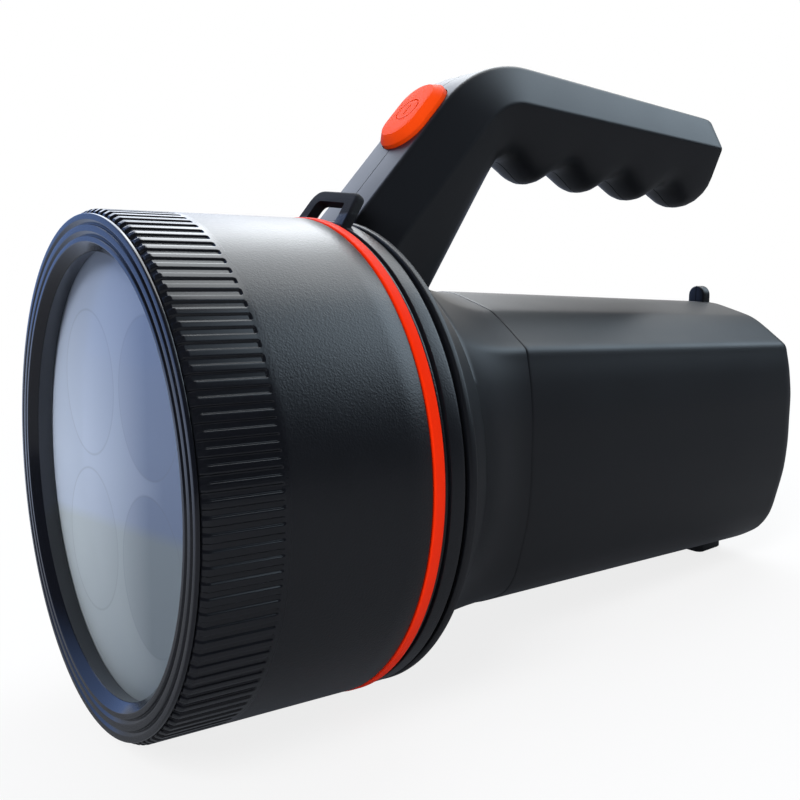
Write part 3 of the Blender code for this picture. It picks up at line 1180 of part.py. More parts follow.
# Battery pack, driver board and charging socket
def build_battery(torch):
    """Four cells in an open holder."""
    size, centre = holder_box()
    holder = torch.block("battery_holder", size, Matrix.Translation(centre), "inner_black")
    window = torch.block("holder_window", (size[0] + OVERRUN, CELL_LENGTH - 2 * CELL_RADIUS, HOLDER_WINDOW),
                         Matrix.Translation(centre), None)
    bores = bmesh.new()
    half = CELL_PITCH / 2
    places = [(side_x * half, centre[2] + side_z * half) for side_x in (-1, 1) for side_z in (-1, 1)]
    for index, (x, z) in enumerate(places, start=1):
        add_rod(bores, CELL_RADIUS + GAP, CELL_LENGTH + 2 * GAP, along_y(x, centre[1], z), CUP_STEPS)
        torch.rod(f"battery_cell_{index}", CELL_RADIUS, CELL_LENGTH, along_y(x, centre[1], z), "cell_blue",
                  steps=CUP_STEPS)
    torch.boolean(holder, torch.add("cell_bores", to_mesh("bores", bores), None), "DIFFERENCE")
    torch.boolean(holder, window, "DIFFERENCE")
    posts = bmesh.new()
    pilots = bmesh.new()
    top = centre[2] + size[2] / 2
    board_z = top + DRIVER_LIFT + GAP
    inset = BOSS_WALL + SCREW_RADIUS
    for index, (x, y) in enumerate(driver_corners(inset), start=1):
        radius = SCREW_RADIUS + GAP + BOSS_WALL
        post = Matrix.Translation((x, y, top + (DRIVER_LIFT - BOSS_WALL) / 2))
        add_rod(posts, radius, DRIVER_LIFT + BOSS_WALL, post, SCREW_STEPS)
        pilot = Matrix.Translation((x, y, board_z))
        add_rod(pilots, SCREW_RADIUS + GAP, 2 * SMALL_SCREW_LENGTH, pilot, SCREW_STEPS)
        seat = Matrix.Translation((x, y, board_z + BOARD_THICKNESS)) @ Matrix.Rotation(math.pi, 4, "X")
        add_screw(torch, f"driver_screw_{index}", seat, SMALL_SCREW_LENGTH - CHAMFER)
    torch.boolean(holder, torch.add("driver_posts", to_mesh("posts", posts), None), "UNION")
    pilot_cutter = torch.add("driver_pilots", to_mesh("pilots", pilots), None)
    torch.boolean(holder, pilot_cutter, "DIFFERENCE")
    middle = Matrix.Translation((0, DRIVER_START_Y + DRIVER_LENGTH / 2, board_z + BOARD_THICKNESS / 2))
    board = torch.block("driver_board", (DRIVER_WIDTH, DRIVER_LENGTH, BOARD_THICKNESS), middle,
                        "board_green")
    torch.boolean(board, pilot_cutter, "DIFFERENCE")
    coil_z = board_z + BOARD_THICKNESS + GAP + DRIVER_COIL_HEIGHT / 2
    place = Matrix.Translation((0, DRIVER_START_Y + DRIVER_LENGTH / 3, coil_z))
    torch.rod("driver_coil", DRIVER_COIL_RADIUS, DRIVER_COIL_HEIGHT, place, "inner_black", steps=CUP_STEPS)
    chip_z = board_z + BOARD_THICKNESS + GAP + DRIVER_CHIP_HEIGHT / 2
    torch.block("driver_chip", (DRIVER_CHIP, DRIVER_CHIP, DRIVER_CHIP_HEIGHT),
                Matrix.Translation((0, DRIVER_START_Y + DRIVER_LENGTH * 2 / 3, chip_z)), "inner_black")


def build_leads(torch):
    """The leads from the driver board to the emitters, the switch and the socket."""
    led_end = shifted(LED_LEAD_END_ROUTE, DRIVER_START_Y, 0.0)
    torch.tube("led_lead", [(0.0, SINK_FRONT_Y, 0.0)] + LED_LEAD_ROUTE + led_end, LEAD_RADIUS, "lead_red")
    in_arm = shifted(ARM_LEAD_ROUTE, ARM_FOOT_Y, ARM_FOOT_Z)
    under_crown = shifted(CROWN_LEAD_ROUTE, 0.0, BODY_TOP)
    switch_end = shifted(SWITCH_LEAD_END_ROUTE, DRIVER_START_Y, 0.0)
    torch.tube("switch_lead", in_arm + under_crown + switch_end, LEAD_RADIUS, "lead_red")
    from_socket = shifted(CHARGE_LEAD_ROUTE, BODY_END_Y, 0.0)
    charge_end = shifted(CHARGE_LEAD_END_ROUTE, DRIVER_START_Y + DRIVER_LENGTH, 0.0)
    torch.tube("charge_lead", from_socket + charge_end, LEAD_RADIUS, "lead_red")


def shifted(points, y, z):
    """Return a route's points moved along and up."""
    return [(point[0], point[1] + y, point[2] + z) for point in points]


def driver_corners(inset):
    """Return the screw places near the driver board's corners."""
    x = DRIVER_WIDTH / 2 - inset - CHAMFER
    near = DRIVER_START_Y + inset + CHAMFER
    far = DRIVER_START_Y + DRIVER_LENGTH - inset - CHAMFER
    return [(x, near), (-x, near), (-x, far), (x, far)]


def cover_pivot():
    """Return the charging cover's hinge line as (y, z)."""
    y = BODY_END_Y - COVER_RECESS + COVER_CLEARANCE + COVER_HINGE_RADIUS
    return y, SOCKET_Z + COVER_RADIUS + COVER_TAB


def build_cover_cuts(torch):
    """Recess, hinge slot, pin hole and socket hole in the rear wall."""
    y, z = cover_pivot()
    floor = BODY_END_Y - COVER_RECESS
    depth = COVER_RECESS + OVERRUN
    recess = torch.rod("cover_recess", COVER_RADIUS + COVER_CLEARANCE, depth,
                       along_y(0, floor + depth / 2, SOCKET_Z), None, steps=CUP_STEPS)
    slot_top = z + COVER_HINGE_RADIUS + COVER_CLEARANCE
    slot_height = slot_top - SOCKET_Z
    slot = torch.block("hinge_slot", (COVER_HINGE_LENGTH + 2 * COVER_CLEARANCE, depth, slot_height),
                       Matrix.Translation((0, floor + depth / 2, slot_top - slot_height / 2)), None)
    pin = torch.rod("pin_hole", COVER_PIN_RADIUS + GAP, COVER_PIN_LENGTH + 2 * GAP, along_x(0, y, z), None)
    hole = torch.rod("socket_hole", SOCKET_HOLE_RADIUS, 2 * COVER_BOSS_DEPTH + 2 * COVER_RECESS + OVERRUN,
                     along_y(0, floor, SOCKET_Z), None)
    return [recess, slot, pin, hole]


def build_charging(torch):
    """Charging socket, its rubber cover and the cover's pin."""
    boss_back = BODY_END_Y - SHELL_WALL - COVER_BOSS_DEPTH
    middle = boss_back - GAP - SOCKET_LENGTH / 2
    socket = torch.rod("charge_socket", SOCKET_RADIUS, SOCKET_LENGTH, along_y(0, middle, SOCKET_Z),
                       "inner_black", steps=CUP_STEPS)
    bore = torch.rod("socket_bore", SOCKET_BORE_RADIUS, SOCKET_LENGTH, along_y(0, boss_back, SOCKET_Z), None)
    torch.boolean(socket, bore, "DIFFERENCE")
    y, z = cover_pivot()
    axis = torch.empty("cover_axis", Matrix.Translation((0, y, z)), torch.axis)
    floor = BODY_END_Y - COVER_RECESS - y + COVER_CLEARANCE
    drop = SOCKET_Z - z
    cover = torch.rod("charge_cover", COVER_RADIUS, COVER_THICKNESS,
                      along_y(0, floor + COVER_THICKNESS / 2, drop), "rubber", axis, CUP_STEPS)
    tab_height = COVER_TAB + COVER_RADIUS / 2
    tab = torch.block("cover_tab", (COVER_HINGE_LENGTH - CHAMFER, COVER_THICKNESS - CHAMFER, tab_height),
                      Matrix.Translation((0, floor + COVER_THICKNESS / 2, -tab_height / 2)), None, axis)
    barrel = torch.rod("cover_barrel", COVER_HINGE_RADIUS, COVER_HINGE_LENGTH, along_x(0, 0, 0), None, axis)
    plug = torch.rod("cover_plug", COVER_PLUG_RADIUS, COVER_PLUG_LENGTH + COVER_CLEARANCE,
                     along_y(0, floor - (COVER_PLUG_LENGTH - COVER_CLEARANCE) / 2, drop), None, axis)
    for form in (tab, barrel, plug):
        torch.boolean(cover, form, "UNION")
    bore = torch.rod("cover_bore", COVER_PIN_RADIUS + GAP, COVER_HINGE_LENGTH + OVERRUN,
                     along_x(0, 0, 0), None, axis)
    torch.boolean(cover, bore, "DIFFERENCE")
    torch.rod("cover_pin", COVER_PIN_RADIUS, COVER_PIN_LENGTH, along_x(0, y, z), "steel")


# Assembly
def stand_on_ground(torch):
    """Tip the torch back onto its foot and put the origin under its middle."""
    torch.axis.matrix_world = Matrix.Rotation(-REST_TILT, 4, "X")
    bpy.context.view_layer.update()
    depsgraph = bpy.context.evaluated_depsgraph_get()
    low = Vector((math.inf,) * 3)
    high = Vector((-math.inf,) * 3)
    for obj in torch.parts.objects:
        if obj.type != "MESH":
            continue
        done = obj.evaluated_get(depsgraph)
        for vertex in done.data.vertices:
            place = done.matrix_world @ vertex.co
            low = Vector(map(min, low, place))
            high = Vector(map(max, high, place))
    shift = Vector((-(low.x + high.x) / 2, -(low.y + high.y) / 2, -low.z))
    torch.axis.matrix_world = Matrix.Translation(shift) @ Matrix.Rotation(-REST_TILT, 4, "X")
    bpy.context.view_layer.update()


def main():
    """Build the torch in an emptied scene."""
    for obj in list(bpy.data.objects):
        bpy.data.objects.remove(obj)
    torch = Torch()
    torch.advance_axis = torch.empty("advance_axis", Matrix.Identity(4), torch.axis)
    torch.head_axis = torch.empty("head_axis", Matrix.Identity(4), torch.advance_axis)
    build_barrel(torch)
    build_bezel(torch)
    build_lens(torch)
    build_orange_ring(torch)
    build_head_base(torch)
    build_reflector(torch)
    build_light_engine(torch)
    build_shells(torch)
    build_button(torch)
    build_switch(torch)
    build_battery(torch)
    build_charging(torch)
    build_leads(torch)
    stand_on_ground(torch)
    return torch


if __name__ == "__main__":
    main()
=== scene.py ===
"""Hand-held UV torch: detailed pieces, finishes and a plain stage over its CAD frame."""
import json
import math

import bmesh
import bpy
from bpy.props import FloatProperty, FloatVectorProperty, IntProperty, PointerProperty
from bpy.types import Operator, Panel, PropertyGroup
from mathutils import Matrix, Vector


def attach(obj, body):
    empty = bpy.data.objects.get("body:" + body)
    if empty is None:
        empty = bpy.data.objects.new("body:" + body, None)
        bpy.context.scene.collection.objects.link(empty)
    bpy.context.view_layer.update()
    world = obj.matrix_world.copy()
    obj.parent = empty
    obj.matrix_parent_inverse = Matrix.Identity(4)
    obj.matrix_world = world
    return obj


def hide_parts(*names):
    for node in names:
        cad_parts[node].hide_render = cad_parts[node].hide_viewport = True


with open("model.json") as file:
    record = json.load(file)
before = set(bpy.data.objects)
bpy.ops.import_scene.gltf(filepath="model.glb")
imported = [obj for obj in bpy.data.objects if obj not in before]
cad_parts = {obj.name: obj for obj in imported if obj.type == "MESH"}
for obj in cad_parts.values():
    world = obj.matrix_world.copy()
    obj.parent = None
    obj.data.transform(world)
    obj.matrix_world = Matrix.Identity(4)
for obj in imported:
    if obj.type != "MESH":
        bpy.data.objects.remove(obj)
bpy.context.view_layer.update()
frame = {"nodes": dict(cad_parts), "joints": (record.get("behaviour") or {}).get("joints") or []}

bl_info = {
    "name": "UV torch",
    "version": (1, 0, 0),
    "blender": (4, 5, 0),
    "location": "3D View > Sidebar > Torch",
    "description": "Builds the detailed pieces, finishes and stage of a hand-held UV torch",
    "category": "Object",
}

HEAD_TURN = next(joint for joint in frame["joints"] if joint["name"] == "head_turn")
ADD, CUT = "UNION", "DIFFERENCE"
QUARTER = math.pi / 2

# Places that several pieces share, in the torch's frame: across, station along the lens axis, height
CUP_FLOOR = 0.0244
SCREW_HOLE = 0.0017
COVER_FLOOR, SOCKET_HEIGHT = 0.2410, 0.0120
ARM_FOOT, ARM_BEND = (0.0716, 0.0660), (0.1148, 0.1150)
GRIP_END, FIRST_CREST, FINGER_PITCH, FINGER_DEPTH = 0.2210, 0.1420, 0.0243, 0.0055
HEAD_SCREWS = ((-0.00188, 0.0, 0.03595), (-0.03019, 0.0, -0.01961), (0.03208, 0.0, -0.01634))
# Screws that hold the shells: station, height, distance of the seat and of the outside from the parting plane
SHELL_SCREWS = ((0.1264, 0.02392, 0.0200, 0.0370), (0.22975, 0.02392, 0.0200, 0.0330),
                (0.1264, -0.03193, 0.0200, 0.0340), (0.22975, -0.03193, 0.0200, 0.0310),
                (0.0910, 0.07596, 0.0060, 0.0110), (0.20613, 0.09209, 0.0060, 0.0115))
# Sets of screws: places, direction of the tip and reach of each, and the pieces that they replace
SCREW_SETS = (
    ("shell", [((-seat - 0.0003, y, z), (1, 0, 0), seat + 0.0090) for y, z, seat, _ in SHELL_SCREWS],
     "shell_screw_"),
    ("board", [((x, CUP_FLOOR, z), (0, 1, 0), 0.0037) for x, z in ((0.03, 0), (0, 0.03), (-0.03, 0), (0, -0.03))],
     "led_board_screw_"),
    ("head", [((x, 0.0679, z), (0, -1, 0), 0.0125) for x, _, z in HEAD_SCREWS], "head_screw_"),
    ("driver", [((x, y, 0.0246), (0, 0, -1), 0.0055) for x, y in
                ((0.0132, 0.1518), (-0.0132, 0.1518), (-0.0132, 0.2002), (0.0132, 0.2002))], "driver_screw_"),
)
# Columns of one slot and its ribs, as shares of the pitch from the middle of the slot
SLOT_COLUMNS = (0.0, 0.080, 0.150, 0.180, 0.205, 0.221, 0.241, 0.261, 0.281, 0.302, 0.400, 0.5)
SLOT_HALF, SLOT_WALL, SLOT_CORNER = 0.302, 0.00048, 0.0006
# Half section of the body, from the crown round the right side to the keel:
# across as shares of the half width, up as shares of the top or the bottom height
BODY_OUTLINE_SHARES = (
    (0.000, 1.000), (0.155, 0.988), (0.385, 0.933), (0.540, 0.891), (0.630, 0.848),
    (0.720, 0.795), (0.810, 0.738), (0.916, 0.668), (0.940, 0.600), (0.973, 0.460),
    (1.000, 0.250), (1.000, 0.040), (0.997, -0.150), (0.969, -0.353), (0.908, -0.544),
    (0.855, -0.680), (0.760, -0.790), (0.600, -0.872), (0.369, -0.948), (0.000, -1.000),
)
# Soft reflecting panels round the torch, in its own frame: direction, inner and outer half angle, colour, strength
PANELS = (
    ((-0.75, 0.26, 0.61), 18.0, 25.0, (0.92, 0.96, 1.00), 2.9),
    ((0.25, 0.74, 0.62), 6.0, 28.0, (0.70, 0.86, 1.00), 3.9),
    ((-0.90, -0.30, 0.30), 15.0, 55.0, (0.30, 0.48, 1.00), 0.90),
    ((-0.72, 0.69, 0.0), 18.0, 32.0, (1.00, 0.98, 0.95), 1.0),
)


def torch_matrix():
    """Return the torch's own frame: +Y from the front face to the tail, +Z up, +X to its right."""
    along = -Vector(HEAD_TURN["axis"]).normalized()
    across = Vector((1.0, 0.0, 0.0))
    turn = Matrix((across, along, across.cross(along))).transposed().to_4x4()
    return Matrix.Translation(Vector(HEAD_TURN["pos_m"])) @ turn


TORCH = torch_matrix()


def length(name, default, description):
    """Return a length property in metres."""
    return FloatProperty(name=name, default=default, description=description, unit="LENGTH", precision=5)


def colour(name, default, description):
    """Return a colour property."""
    return FloatVectorProperty(name=name, default=default, description=description, subtype="COLOR",
                               size=3, min=0.0, max=1.0)


class HeadSizes(PropertyGroup):
    """Sizes of the barrel, bezel, orange ring and collar."""

    barrel_radius: length("Barrel radius", 0.0661, "Outer radius of the barrel")
    barrel_bore: length("Barrel bore", 0.0621, "Inner radius of the barrel")
    barrel_front: length("Barrel front", 0.0013, "Station of the barrel's front edge")
    barrel_end: length("Barrel end", 0.0577, "Station of the barrel's rear edge")
    flute_count: IntProperty(name="Flutes", default=120, min=12, description="Number of slots round the barrel")
    flute_depth: length("Flute depth", 0.00048, "Depth of each slot")
    flute_end: length("Flute end", 0.0196, "Station where the slots end")
    bezel_radius: length("Bezel radius", 0.0650, "Outer radius of the front ring")
    bezel_bore: length("Bezel bore", 0.0558, "Radius of the lens opening")
    ring_radius: length("Orange ring radius", 0.0663, "Outer radius of the orange ring")
    ring_start: length("Orange ring start", 0.0580, "Station of the ring's front face")
    ring_width: length("Orange ring width", 0.0031, "Width of the orange ring")
    collar_radius: length("Collar radius", 0.0657, "Outer radius of the collar")
    collar_start: length("Collar start", 0.0614, "Station of the collar's front face")
    collar_width: length("Collar width", 0.0062, "Width of the collar")
    cup_radius: length("Cup radius", 0.0195, "Radius of each reflector cup's mouth")
    cup_spacing: length("Cup spacing", 0.0430, "Distance between the axes of neighbouring cups")


class HousingSizes(PropertyGroup):
    """Sizes of the rim, neck, body and button."""

    rim_radius: length("Rim radius", 0.0657, "Outer radius of the rear rim")
    rim_start: length("Rim start", 0.0689, "Station of the rim's front edge")
    rim_end: length("Rim end", 0.0715, "Station of the rim's rear edge")
    neck_radius: length("Neck radius", 0.0548, "Radius where the cone meets the neck")
    body_front: length("Body front", 0.1105, "Station of the body's front edge")
    body_end: length("Body end", 0.2430, "Station of the body's rear face")
    body_half_width: length("Body half width", 0.0423, "Half width of the body at its front")
    body_top: length("Body top", 0.0460, "Height of the body's crown over the lens axis")
    body_bottom: length("Body bottom", 0.0515, "Depth of the body's keel under the lens axis")
    wall: length("Wall", 0.0025, "Wall of the housing")
    button_along: length("Button place", 0.0410, "Distance of the button up the arm from its foot")
    button_length: length("Button length", 0.0250, "Length of the button up the arm")
    button_width: length("Button width", 0.0184, "Width of the button")
    button_corner: length("Button corner", 0.0086, "Radius of the button's corners")
    button_proud: length("Button height", 0.0034, "How far the button stands above the arm")
    button_chamfer: length("Button chamfer", 0.0022, "Width of the button's sloping edge")


class Finishes(PropertyGroup):
    """Colours of the torch."""

    black: colour("Black", (0.0052, 0.0058, 0.0078), "Moulded body and barrel")
    gloss: colour("Gloss black", (0.0050, 0.0056, 0.0085), "Front ring")
    orange: colour("Orange", (0.82, 0.024, 0.001), "Ring and button")
    mirror: colour("Reflector", (0.80, 0.83, 0.90), "Metallised cups")


class StageSettings(PropertyGroup):
    """Light and camera."""

    key: FloatProperty(name="Key light", default=8.5, min=0.0, subtype="POWER", description="Power of the key")
    fill: FloatProperty(name="Fill light", default=12.0, min=0.0, subtype="POWER", description="Power of the fill")
    panels: FloatProperty(name="Panels", default=1.0, min=0.0, description="Strength of the soft reflecting panels")
    focal_length: FloatProperty(name="Lens", default=44.49, min=10.0, description="Camera lens in millimetres")


class Nodes:
    """A node tree that is built from Python values."""

    def __init__(self, tree):
        self.tree = tree

    def node(self, kind, inputs=None, **settings):
        """Add a node: its settings first, then the values or links of its sockets."""
        made = self.tree.nodes.new(kind)
        for key, value in settings.items():
            setattr(made, key, value)
        for key, value in (inputs or {}).items():
            self.feed(made.inputs[key], value)
        return made

    def feed(self, socket, value):
        """Link a value, a socket or a node's first output to a socket, or set the socket."""
        if isinstance(value, Value):
            value = value.socket
        elif isinstance(value, bpy.types.Node):
            value = value.outputs[0]
        if isinstance(value, bpy.types.NodeSocket):
            self.tree.links.new(value, socket)
        else:
            socket.default_value = value

    def mixed(self, share, one, other):
        """Return a mix of two shaders."""
        return self.node("ShaderNodeMixShader", {0: share, 1: one, 2: other})

    def rays(self):
        """Return whether a ray sees this surface plainly or through glass, and whether it sees it mirrored."""
        path = self.node("ShaderNodeLightPath")
        seen = Value(self, path.outputs["Is Camera Ray"]).math("MAXIMUM", path.outputs["Is Transmission Ray"])
        return seen, Value(self, path.outputs["Is Glossy Ray"])


class Value:
    """A number socket: arithmetic on it adds Math nodes."""

    def __init__(self, nodes, socket):
        self.nodes = nodes
        self.socket = socket

    def math(self, operation, *others):
        """Return the result of one Math node."""
        made = self.nodes.node("ShaderNodeMath", dict(enumerate((self, *others))), operation=operation)
        return Value(self.nodes, made.outputs[0])

    def __add__(self, other):
        return self.math("ADD", other)

    def __sub__(self, other):
        return self.math("SUBTRACT", other)

    def __mul__(self, other):
        return self.math("MULTIPLY", other)

    def step(self, start, end, **settings):
        """Return 0 before start, 1 past end and a rise between, straight unless the settings say otherwise."""
        made = self.nodes.node("ShaderNodeMapRange", {"Value": self, "From Min": start, "From Max": end}, **settings)
        return Value(self.nodes, made.outputs["Result"])


class Finish(Nodes):
    """One Principled material and what varies over its surface."""

    def __init__(self, name, base, roughness, **fixed):
        self.material = bpy.data.materials.new(name)
        self.material.use_nodes = True
        self.material.diffuse_color = (*base, 1.0)
        super().__init__(self.material.node_tree)
        self.shader = self.tree.nodes["Principled BSDF"]
        self.base = tuple(base)
        self.vary("Base Color", (*base, 1.0))
        self.vary("Roughness", roughness)
        for key, value in fixed.items():
            self.vary(key.replace("_", " ").title().replace("Ior", "IOR"), value)
        self.place = self.node("ShaderNodeTexCoord").outputs["Object"]

    def noise(self, size, detail=2.0, roughness=0.5, stretch=None):
        """Return noise whose features are about size metres across."""
        place = self.place
        if stretch:
            place = self.node("ShaderNodeMapping", {"Vector": place, "Scale": stretch})
        made = self.node("ShaderNodeTexNoise", {
            "Vector": place, "Scale": 1.0 / size, "Detail": detail, "Roughness": roughness})
        return Value(self, made.outputs["Fac"])

    def cells(self, size):
        """Return the distance pattern of cells about size metres across."""
        made = self.node("ShaderNodeTexVoronoi", {"Vector": self.place, "Scale": 1.0 / size})
        return Value(self, made.outputs["Distance"])

    def measure(self, axis):
        """Return the distance from the torch's origin along its axis: 0 to its right, 1 to its tail, 2 up."""
        moved = self.node("ShaderNodeVectorMath", {0: self.place, 1: TORCH.translation}, operation="SUBTRACT")
        along = self.node("ShaderNodeVectorMath", {0: moved, 1: TORCH.col[axis].to_3d()}, operation="DOT_PRODUCT")
        return Value(self, along.outputs["Value"])

    def blended(self, share, one, other):
        """Return a colour between two, each a colour or a socket."""
        one, other = ((*c, 1.0) if isinstance(c, tuple) else c for c in (one, other))
        return self.node("ShaderNodeMix", {0: share, 6: one, 7: other}, data_type="RGBA").outputs[2]

    def vary(self, socket, value):
        """Set or drive one socket of the shader."""
        self.feed(self.shader.inputs[socket], value)

    def tint(self, share, other):
        """Mix the base colour with another by a share that varies."""
        self.vary("Base Color", self.blended(share, self.base, other))

    def bump(self, height, distance, strength):
        """Drive the normal by a height."""
        self.vary("Normal", self.node("ShaderNodeBump", {
            "Height": height, "Distance": distance, "Strength": strength}))

    def ends_in(self, shader):
        """Let another shader reach the material's output, and return the material."""
        self.feed(self.tree.nodes["Material Output"].inputs["Surface"], shader)
        return self.material


def scaled(base, factor):
    """Return a colour times a number."""
    return tuple(factor * c for c in base)


def clouded(name, base, cloud, roughness, shade=None, grain=None, **fixed):
    """Return the finish of a plain surface.

    The cloud's noise moves the roughness from a low value by a swing, and shades the colour between two of its
    levels by a share towards another colour. The grain is noise of its own, or the cloud, with a depth and strength.
    """
    low, swing = roughness
    finish = Finish(name, base, low, **fixed)
    drift = finish.noise(*cloud)
    finish.vary("Roughness", drift * swing + low)
    if shade:
        start, end, share, other = shade
        finish.tint(drift.step(start, end) * share, other)
    if grain:
        noise, depth, strength = grain
        finish.bump(finish.noise(*noise) if noise else drift, depth, strength)
    return finish


def barrel_plastic(name, base):
    """Satin black with a fine leather grain behind the flutes, a gloss on them and a dull strap loop."""
    finish = Finish(name, base, 0.4)
    behind = finish.measure(1).step(0.0192, 0.0215)
    grain = finish.cells(0.0006) * 0.5 + finish.noise(0.0004, 3.0) * 0.8
    finish.bump(grain * behind, 0.00006, 0.8)
    cloud = finish.noise(0.012, 3.0)
    loop = finish.measure(2).step(0.0664, 0.0672)
    finish.vary("Roughness", behind * 0.14 + (cloud * 0.06 + 0.15) + loop * 0.45)
    finish.tint(cloud.step(0.3, 0.8) * 0.5, scaled(base, 1.3))
    return finish.material


def housing_plastic(name, base):
    """Matte black with the faint texture of a spark-eroded mould."""
    finish = clouded(name, base, (0.02, 4.0), (0.38, 0.08), (0.35, 0.75, 0.4, scaled(base, 1.3)))
    finish.bump(finish.noise(0.00045, 3.0) + finish.noise(0.004, 1.0) * 0.4, 0.00003, 0.35)
    return finish.material


def bezel_plastic(name, base):
    """Glossy black with a very faint orange peel."""
    return clouded(name, base, (0.015, 3.0), (0.16, 0.08), None, ((0.003, 1.0), 0.00003, 0.2),
                   coat_weight=0.3, coat_roughness=0.12).material


def orange_plastic(name, base):
    """Satin orange, a little deeper where the moulding is uneven."""
    deeper = (base[0] * 0.92, base[1] * 0.75, base[2])
    return clouded(name, base, (0.008, 3.0), (0.44, 0.10), (0.3, 0.8, 0.35, deeper),
                   ((0.0005, 2.0), 0.00003, 0.3), specular_ior_level=0.08).material


def lens_glass(name):
    """Clear window mostly covered by a painted reflection of pale sky and ground, over faint painted rims of the four
    cups and painted light and shade inside them.
    """
    finish = Finish(name, (0.93, 0.95, 0.98), 0.03, transmission_weight=1.0, ior=1.46)
    finish.vary("Roughness", finish.noise(0.02, 2.0) * 0.03 + 0.015)
    head = bpy.context.scene.torch_head
    across, up = finish.measure(0), finish.measure(2)
    sideways, upwards = (v.math("ABSOLUTE") - head.cup_spacing / 2 for v in (across, up))
    from_cup = (sideways * sideways + upwards * upwards).math("SQRT")
    inside = from_cup.step(head.cup_radius + 0.0002, head.cup_radius - 0.0002)
    rim = (from_cup - head.cup_radius).math("ABSOLUTE").step(0.00045, 0.00010)
    # Painted reflection: light on the lens's left and dark on its right; inside the cups, painted lighter towards the
    # left and darker towards the right.
    side = across.step(-0.060, 0.030)
    shade = side + inside * (side - 0.45) * 0.22
    # Painted reflection colours of sky and ground, each light on the left and dark on the right.
    painted_sky_reflection = finish.blended(shade, (0.70, 0.80, 0.98), (0.125, 0.165, 0.265))
    ground = finish.blended(shade, (0.66, 0.74, 0.80), (0.155, 0.190, 0.225))
    # The painted ground reflection fills the bottom edge; the painted sky turns a darker blue towards the top.
    low = (up - across * 0.10).step(-0.0115, -0.0150)
    high = up.step(0.0, 0.060) * 0.55
    painted_reflection_tone = finish.blended(low, finish.blended(high, painted_sky_reflection, (0.16, 0.20, 0.31)), ground)
    # The cups' rims are painted as faint dark lines.
    painted_reflection_tone = finish.blended(rim * 0.22, painted_reflection_tone, (0.10, 0.12, 0.16))
    # This shader carries the painted reflection, which covers 84 to 90 % of the lens over the clear glass.
    haze = finish.node("ShaderNodeBsdfPrincipled", {
        "Base Color": painted_reflection_tone, "Roughness": 0.30, "Specular IOR Level": 0.25})
    cover = finish.noise(0.03, 2.0) * 0.06 + 0.84
    return finish.ends_in(finish.mixed(cover, finish.shader, haze))


def reflector_metal(name, base):
    """Metallised cups with a slight haze."""
    return clouded(name, base, (0.01, 3.0), (0.17, 0.06), None, ((0.002, 1.0), 0.00002, 0.15), metallic=1.0).material


def rubber(name):
    """Dusty black rubber."""
    return clouded(name, (0.018, 0.018, 0.019), (0.004, 4.0), (0.62, 0.20), (0.4, 0.8, 0.5, (0.03, 0.03, 0.031)),
                   ((0.0004, 2.0), 0.00004, 0.4)).material


def metal(name, base, stretch, roughness):
    """Drawn or turned metal with fine lines."""
    return clouded(name, base, (0.0012, 4.0, 0.7, stretch), (roughness - 0.1, 0.2),
                   (0.0, 1.0, 0.4, scaled(base, 0.7)), (None, 0.00002, 0.3), metallic=1.0).material


def board(name, base, mask_tone):
    """Circuit board: solder mask over faint copper traces."""
    finish = Finish(name, base, 0.4)
    traces = finish.noise(0.0018, 1.0, 0.5, (1.0, 0.12, 1.0)).step(0.50, 0.53)
    finish.tint(traces * 0.6, mask_tone)
    finish.vary("Roughness", traces * -0.12 + 0.44)
    finish.bump(traces, 0.00003, 0.4)
    return finish.material


def emitter(name):
    """Emitter under its clear dome."""
    finish = Finish(name, (0.30, 0.26, 0.34), 0.18, coat_weight=0.8, coat_roughness=0.05)
    finish.tint(finish.noise(0.0012, 1.0).step(0.45, 0.55), (0.55, 0.50, 0.40))
    return finish.material


def cell_wrap(name):
    """Shrunk plastic wrap."""
    return clouded(name, (0.03, 0.16, 0.50), (0.005, 3.0, 0.6, (1.0, 0.25, 1.0)), (0.25, 0.2),
                   (0.55, 0.7, 0.4, (0.05, 0.24, 0.62)), (None, 0.0001, 0.25), coat_weight=0.3).material


def inner_plastic(name, base):
    """Plain moulded plastic of the inner pieces."""
    return clouded(name, base, (0.003, 3.0), (0.45, 0.15), (0.0, 1.0, 0.5, scaled(base, 1.4)),
                   ((0.0005, 2.0), 0.00003, 0.3)).material


def new_mesh(name, form):
    """Turn a bmesh into a mesh with its faces outward."""
    bmesh.ops.recalc_face_normals(form, faces=form.faces)
    mesh = bpy.data.meshes.new(name)
    form.to_mesh(mesh)
    form.free()
    return mesh


def add_object(name, data):
    """Link an object with a mesh, lamp or camera to the scene."""
    obj = bpy.data.objects.new(name, data)
    bpy.context.scene.collection.objects.link(obj)
    return obj


def finish_piece(obj, material, body, nodes, sharp=35.0):
    """Move a piece from the torch's frame to its place, dress it and hang it on its body."""
    mesh = obj.data
    mesh.transform(TORCH)
    mesh.materials.clear()
    mesh.materials.append(material)
    mesh.shade_smooth()
    mesh.set_sharp_from_angle(angle=math.radians(sharp))
    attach(obj, body)
    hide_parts(*nodes)


def baked(obj):
    """Give an object a plain mesh with its modifiers applied, and drop them."""
    bpy.context.view_layer.update()
    depsgraph = bpy.context.evaluated_depsgraph_get()
    mesh = bpy.data.meshes.new_from_object(obj.evaluated_get(depsgraph))
    obj.modifiers.clear()
    obj.data = mesh


def changed(obj, change):
    """Let a function change an object's mesh as a bmesh."""
    form = bmesh.new()
    form.from_mesh(obj.data)
    change(form)
    form.to_mesh(obj.data)
    form.free()


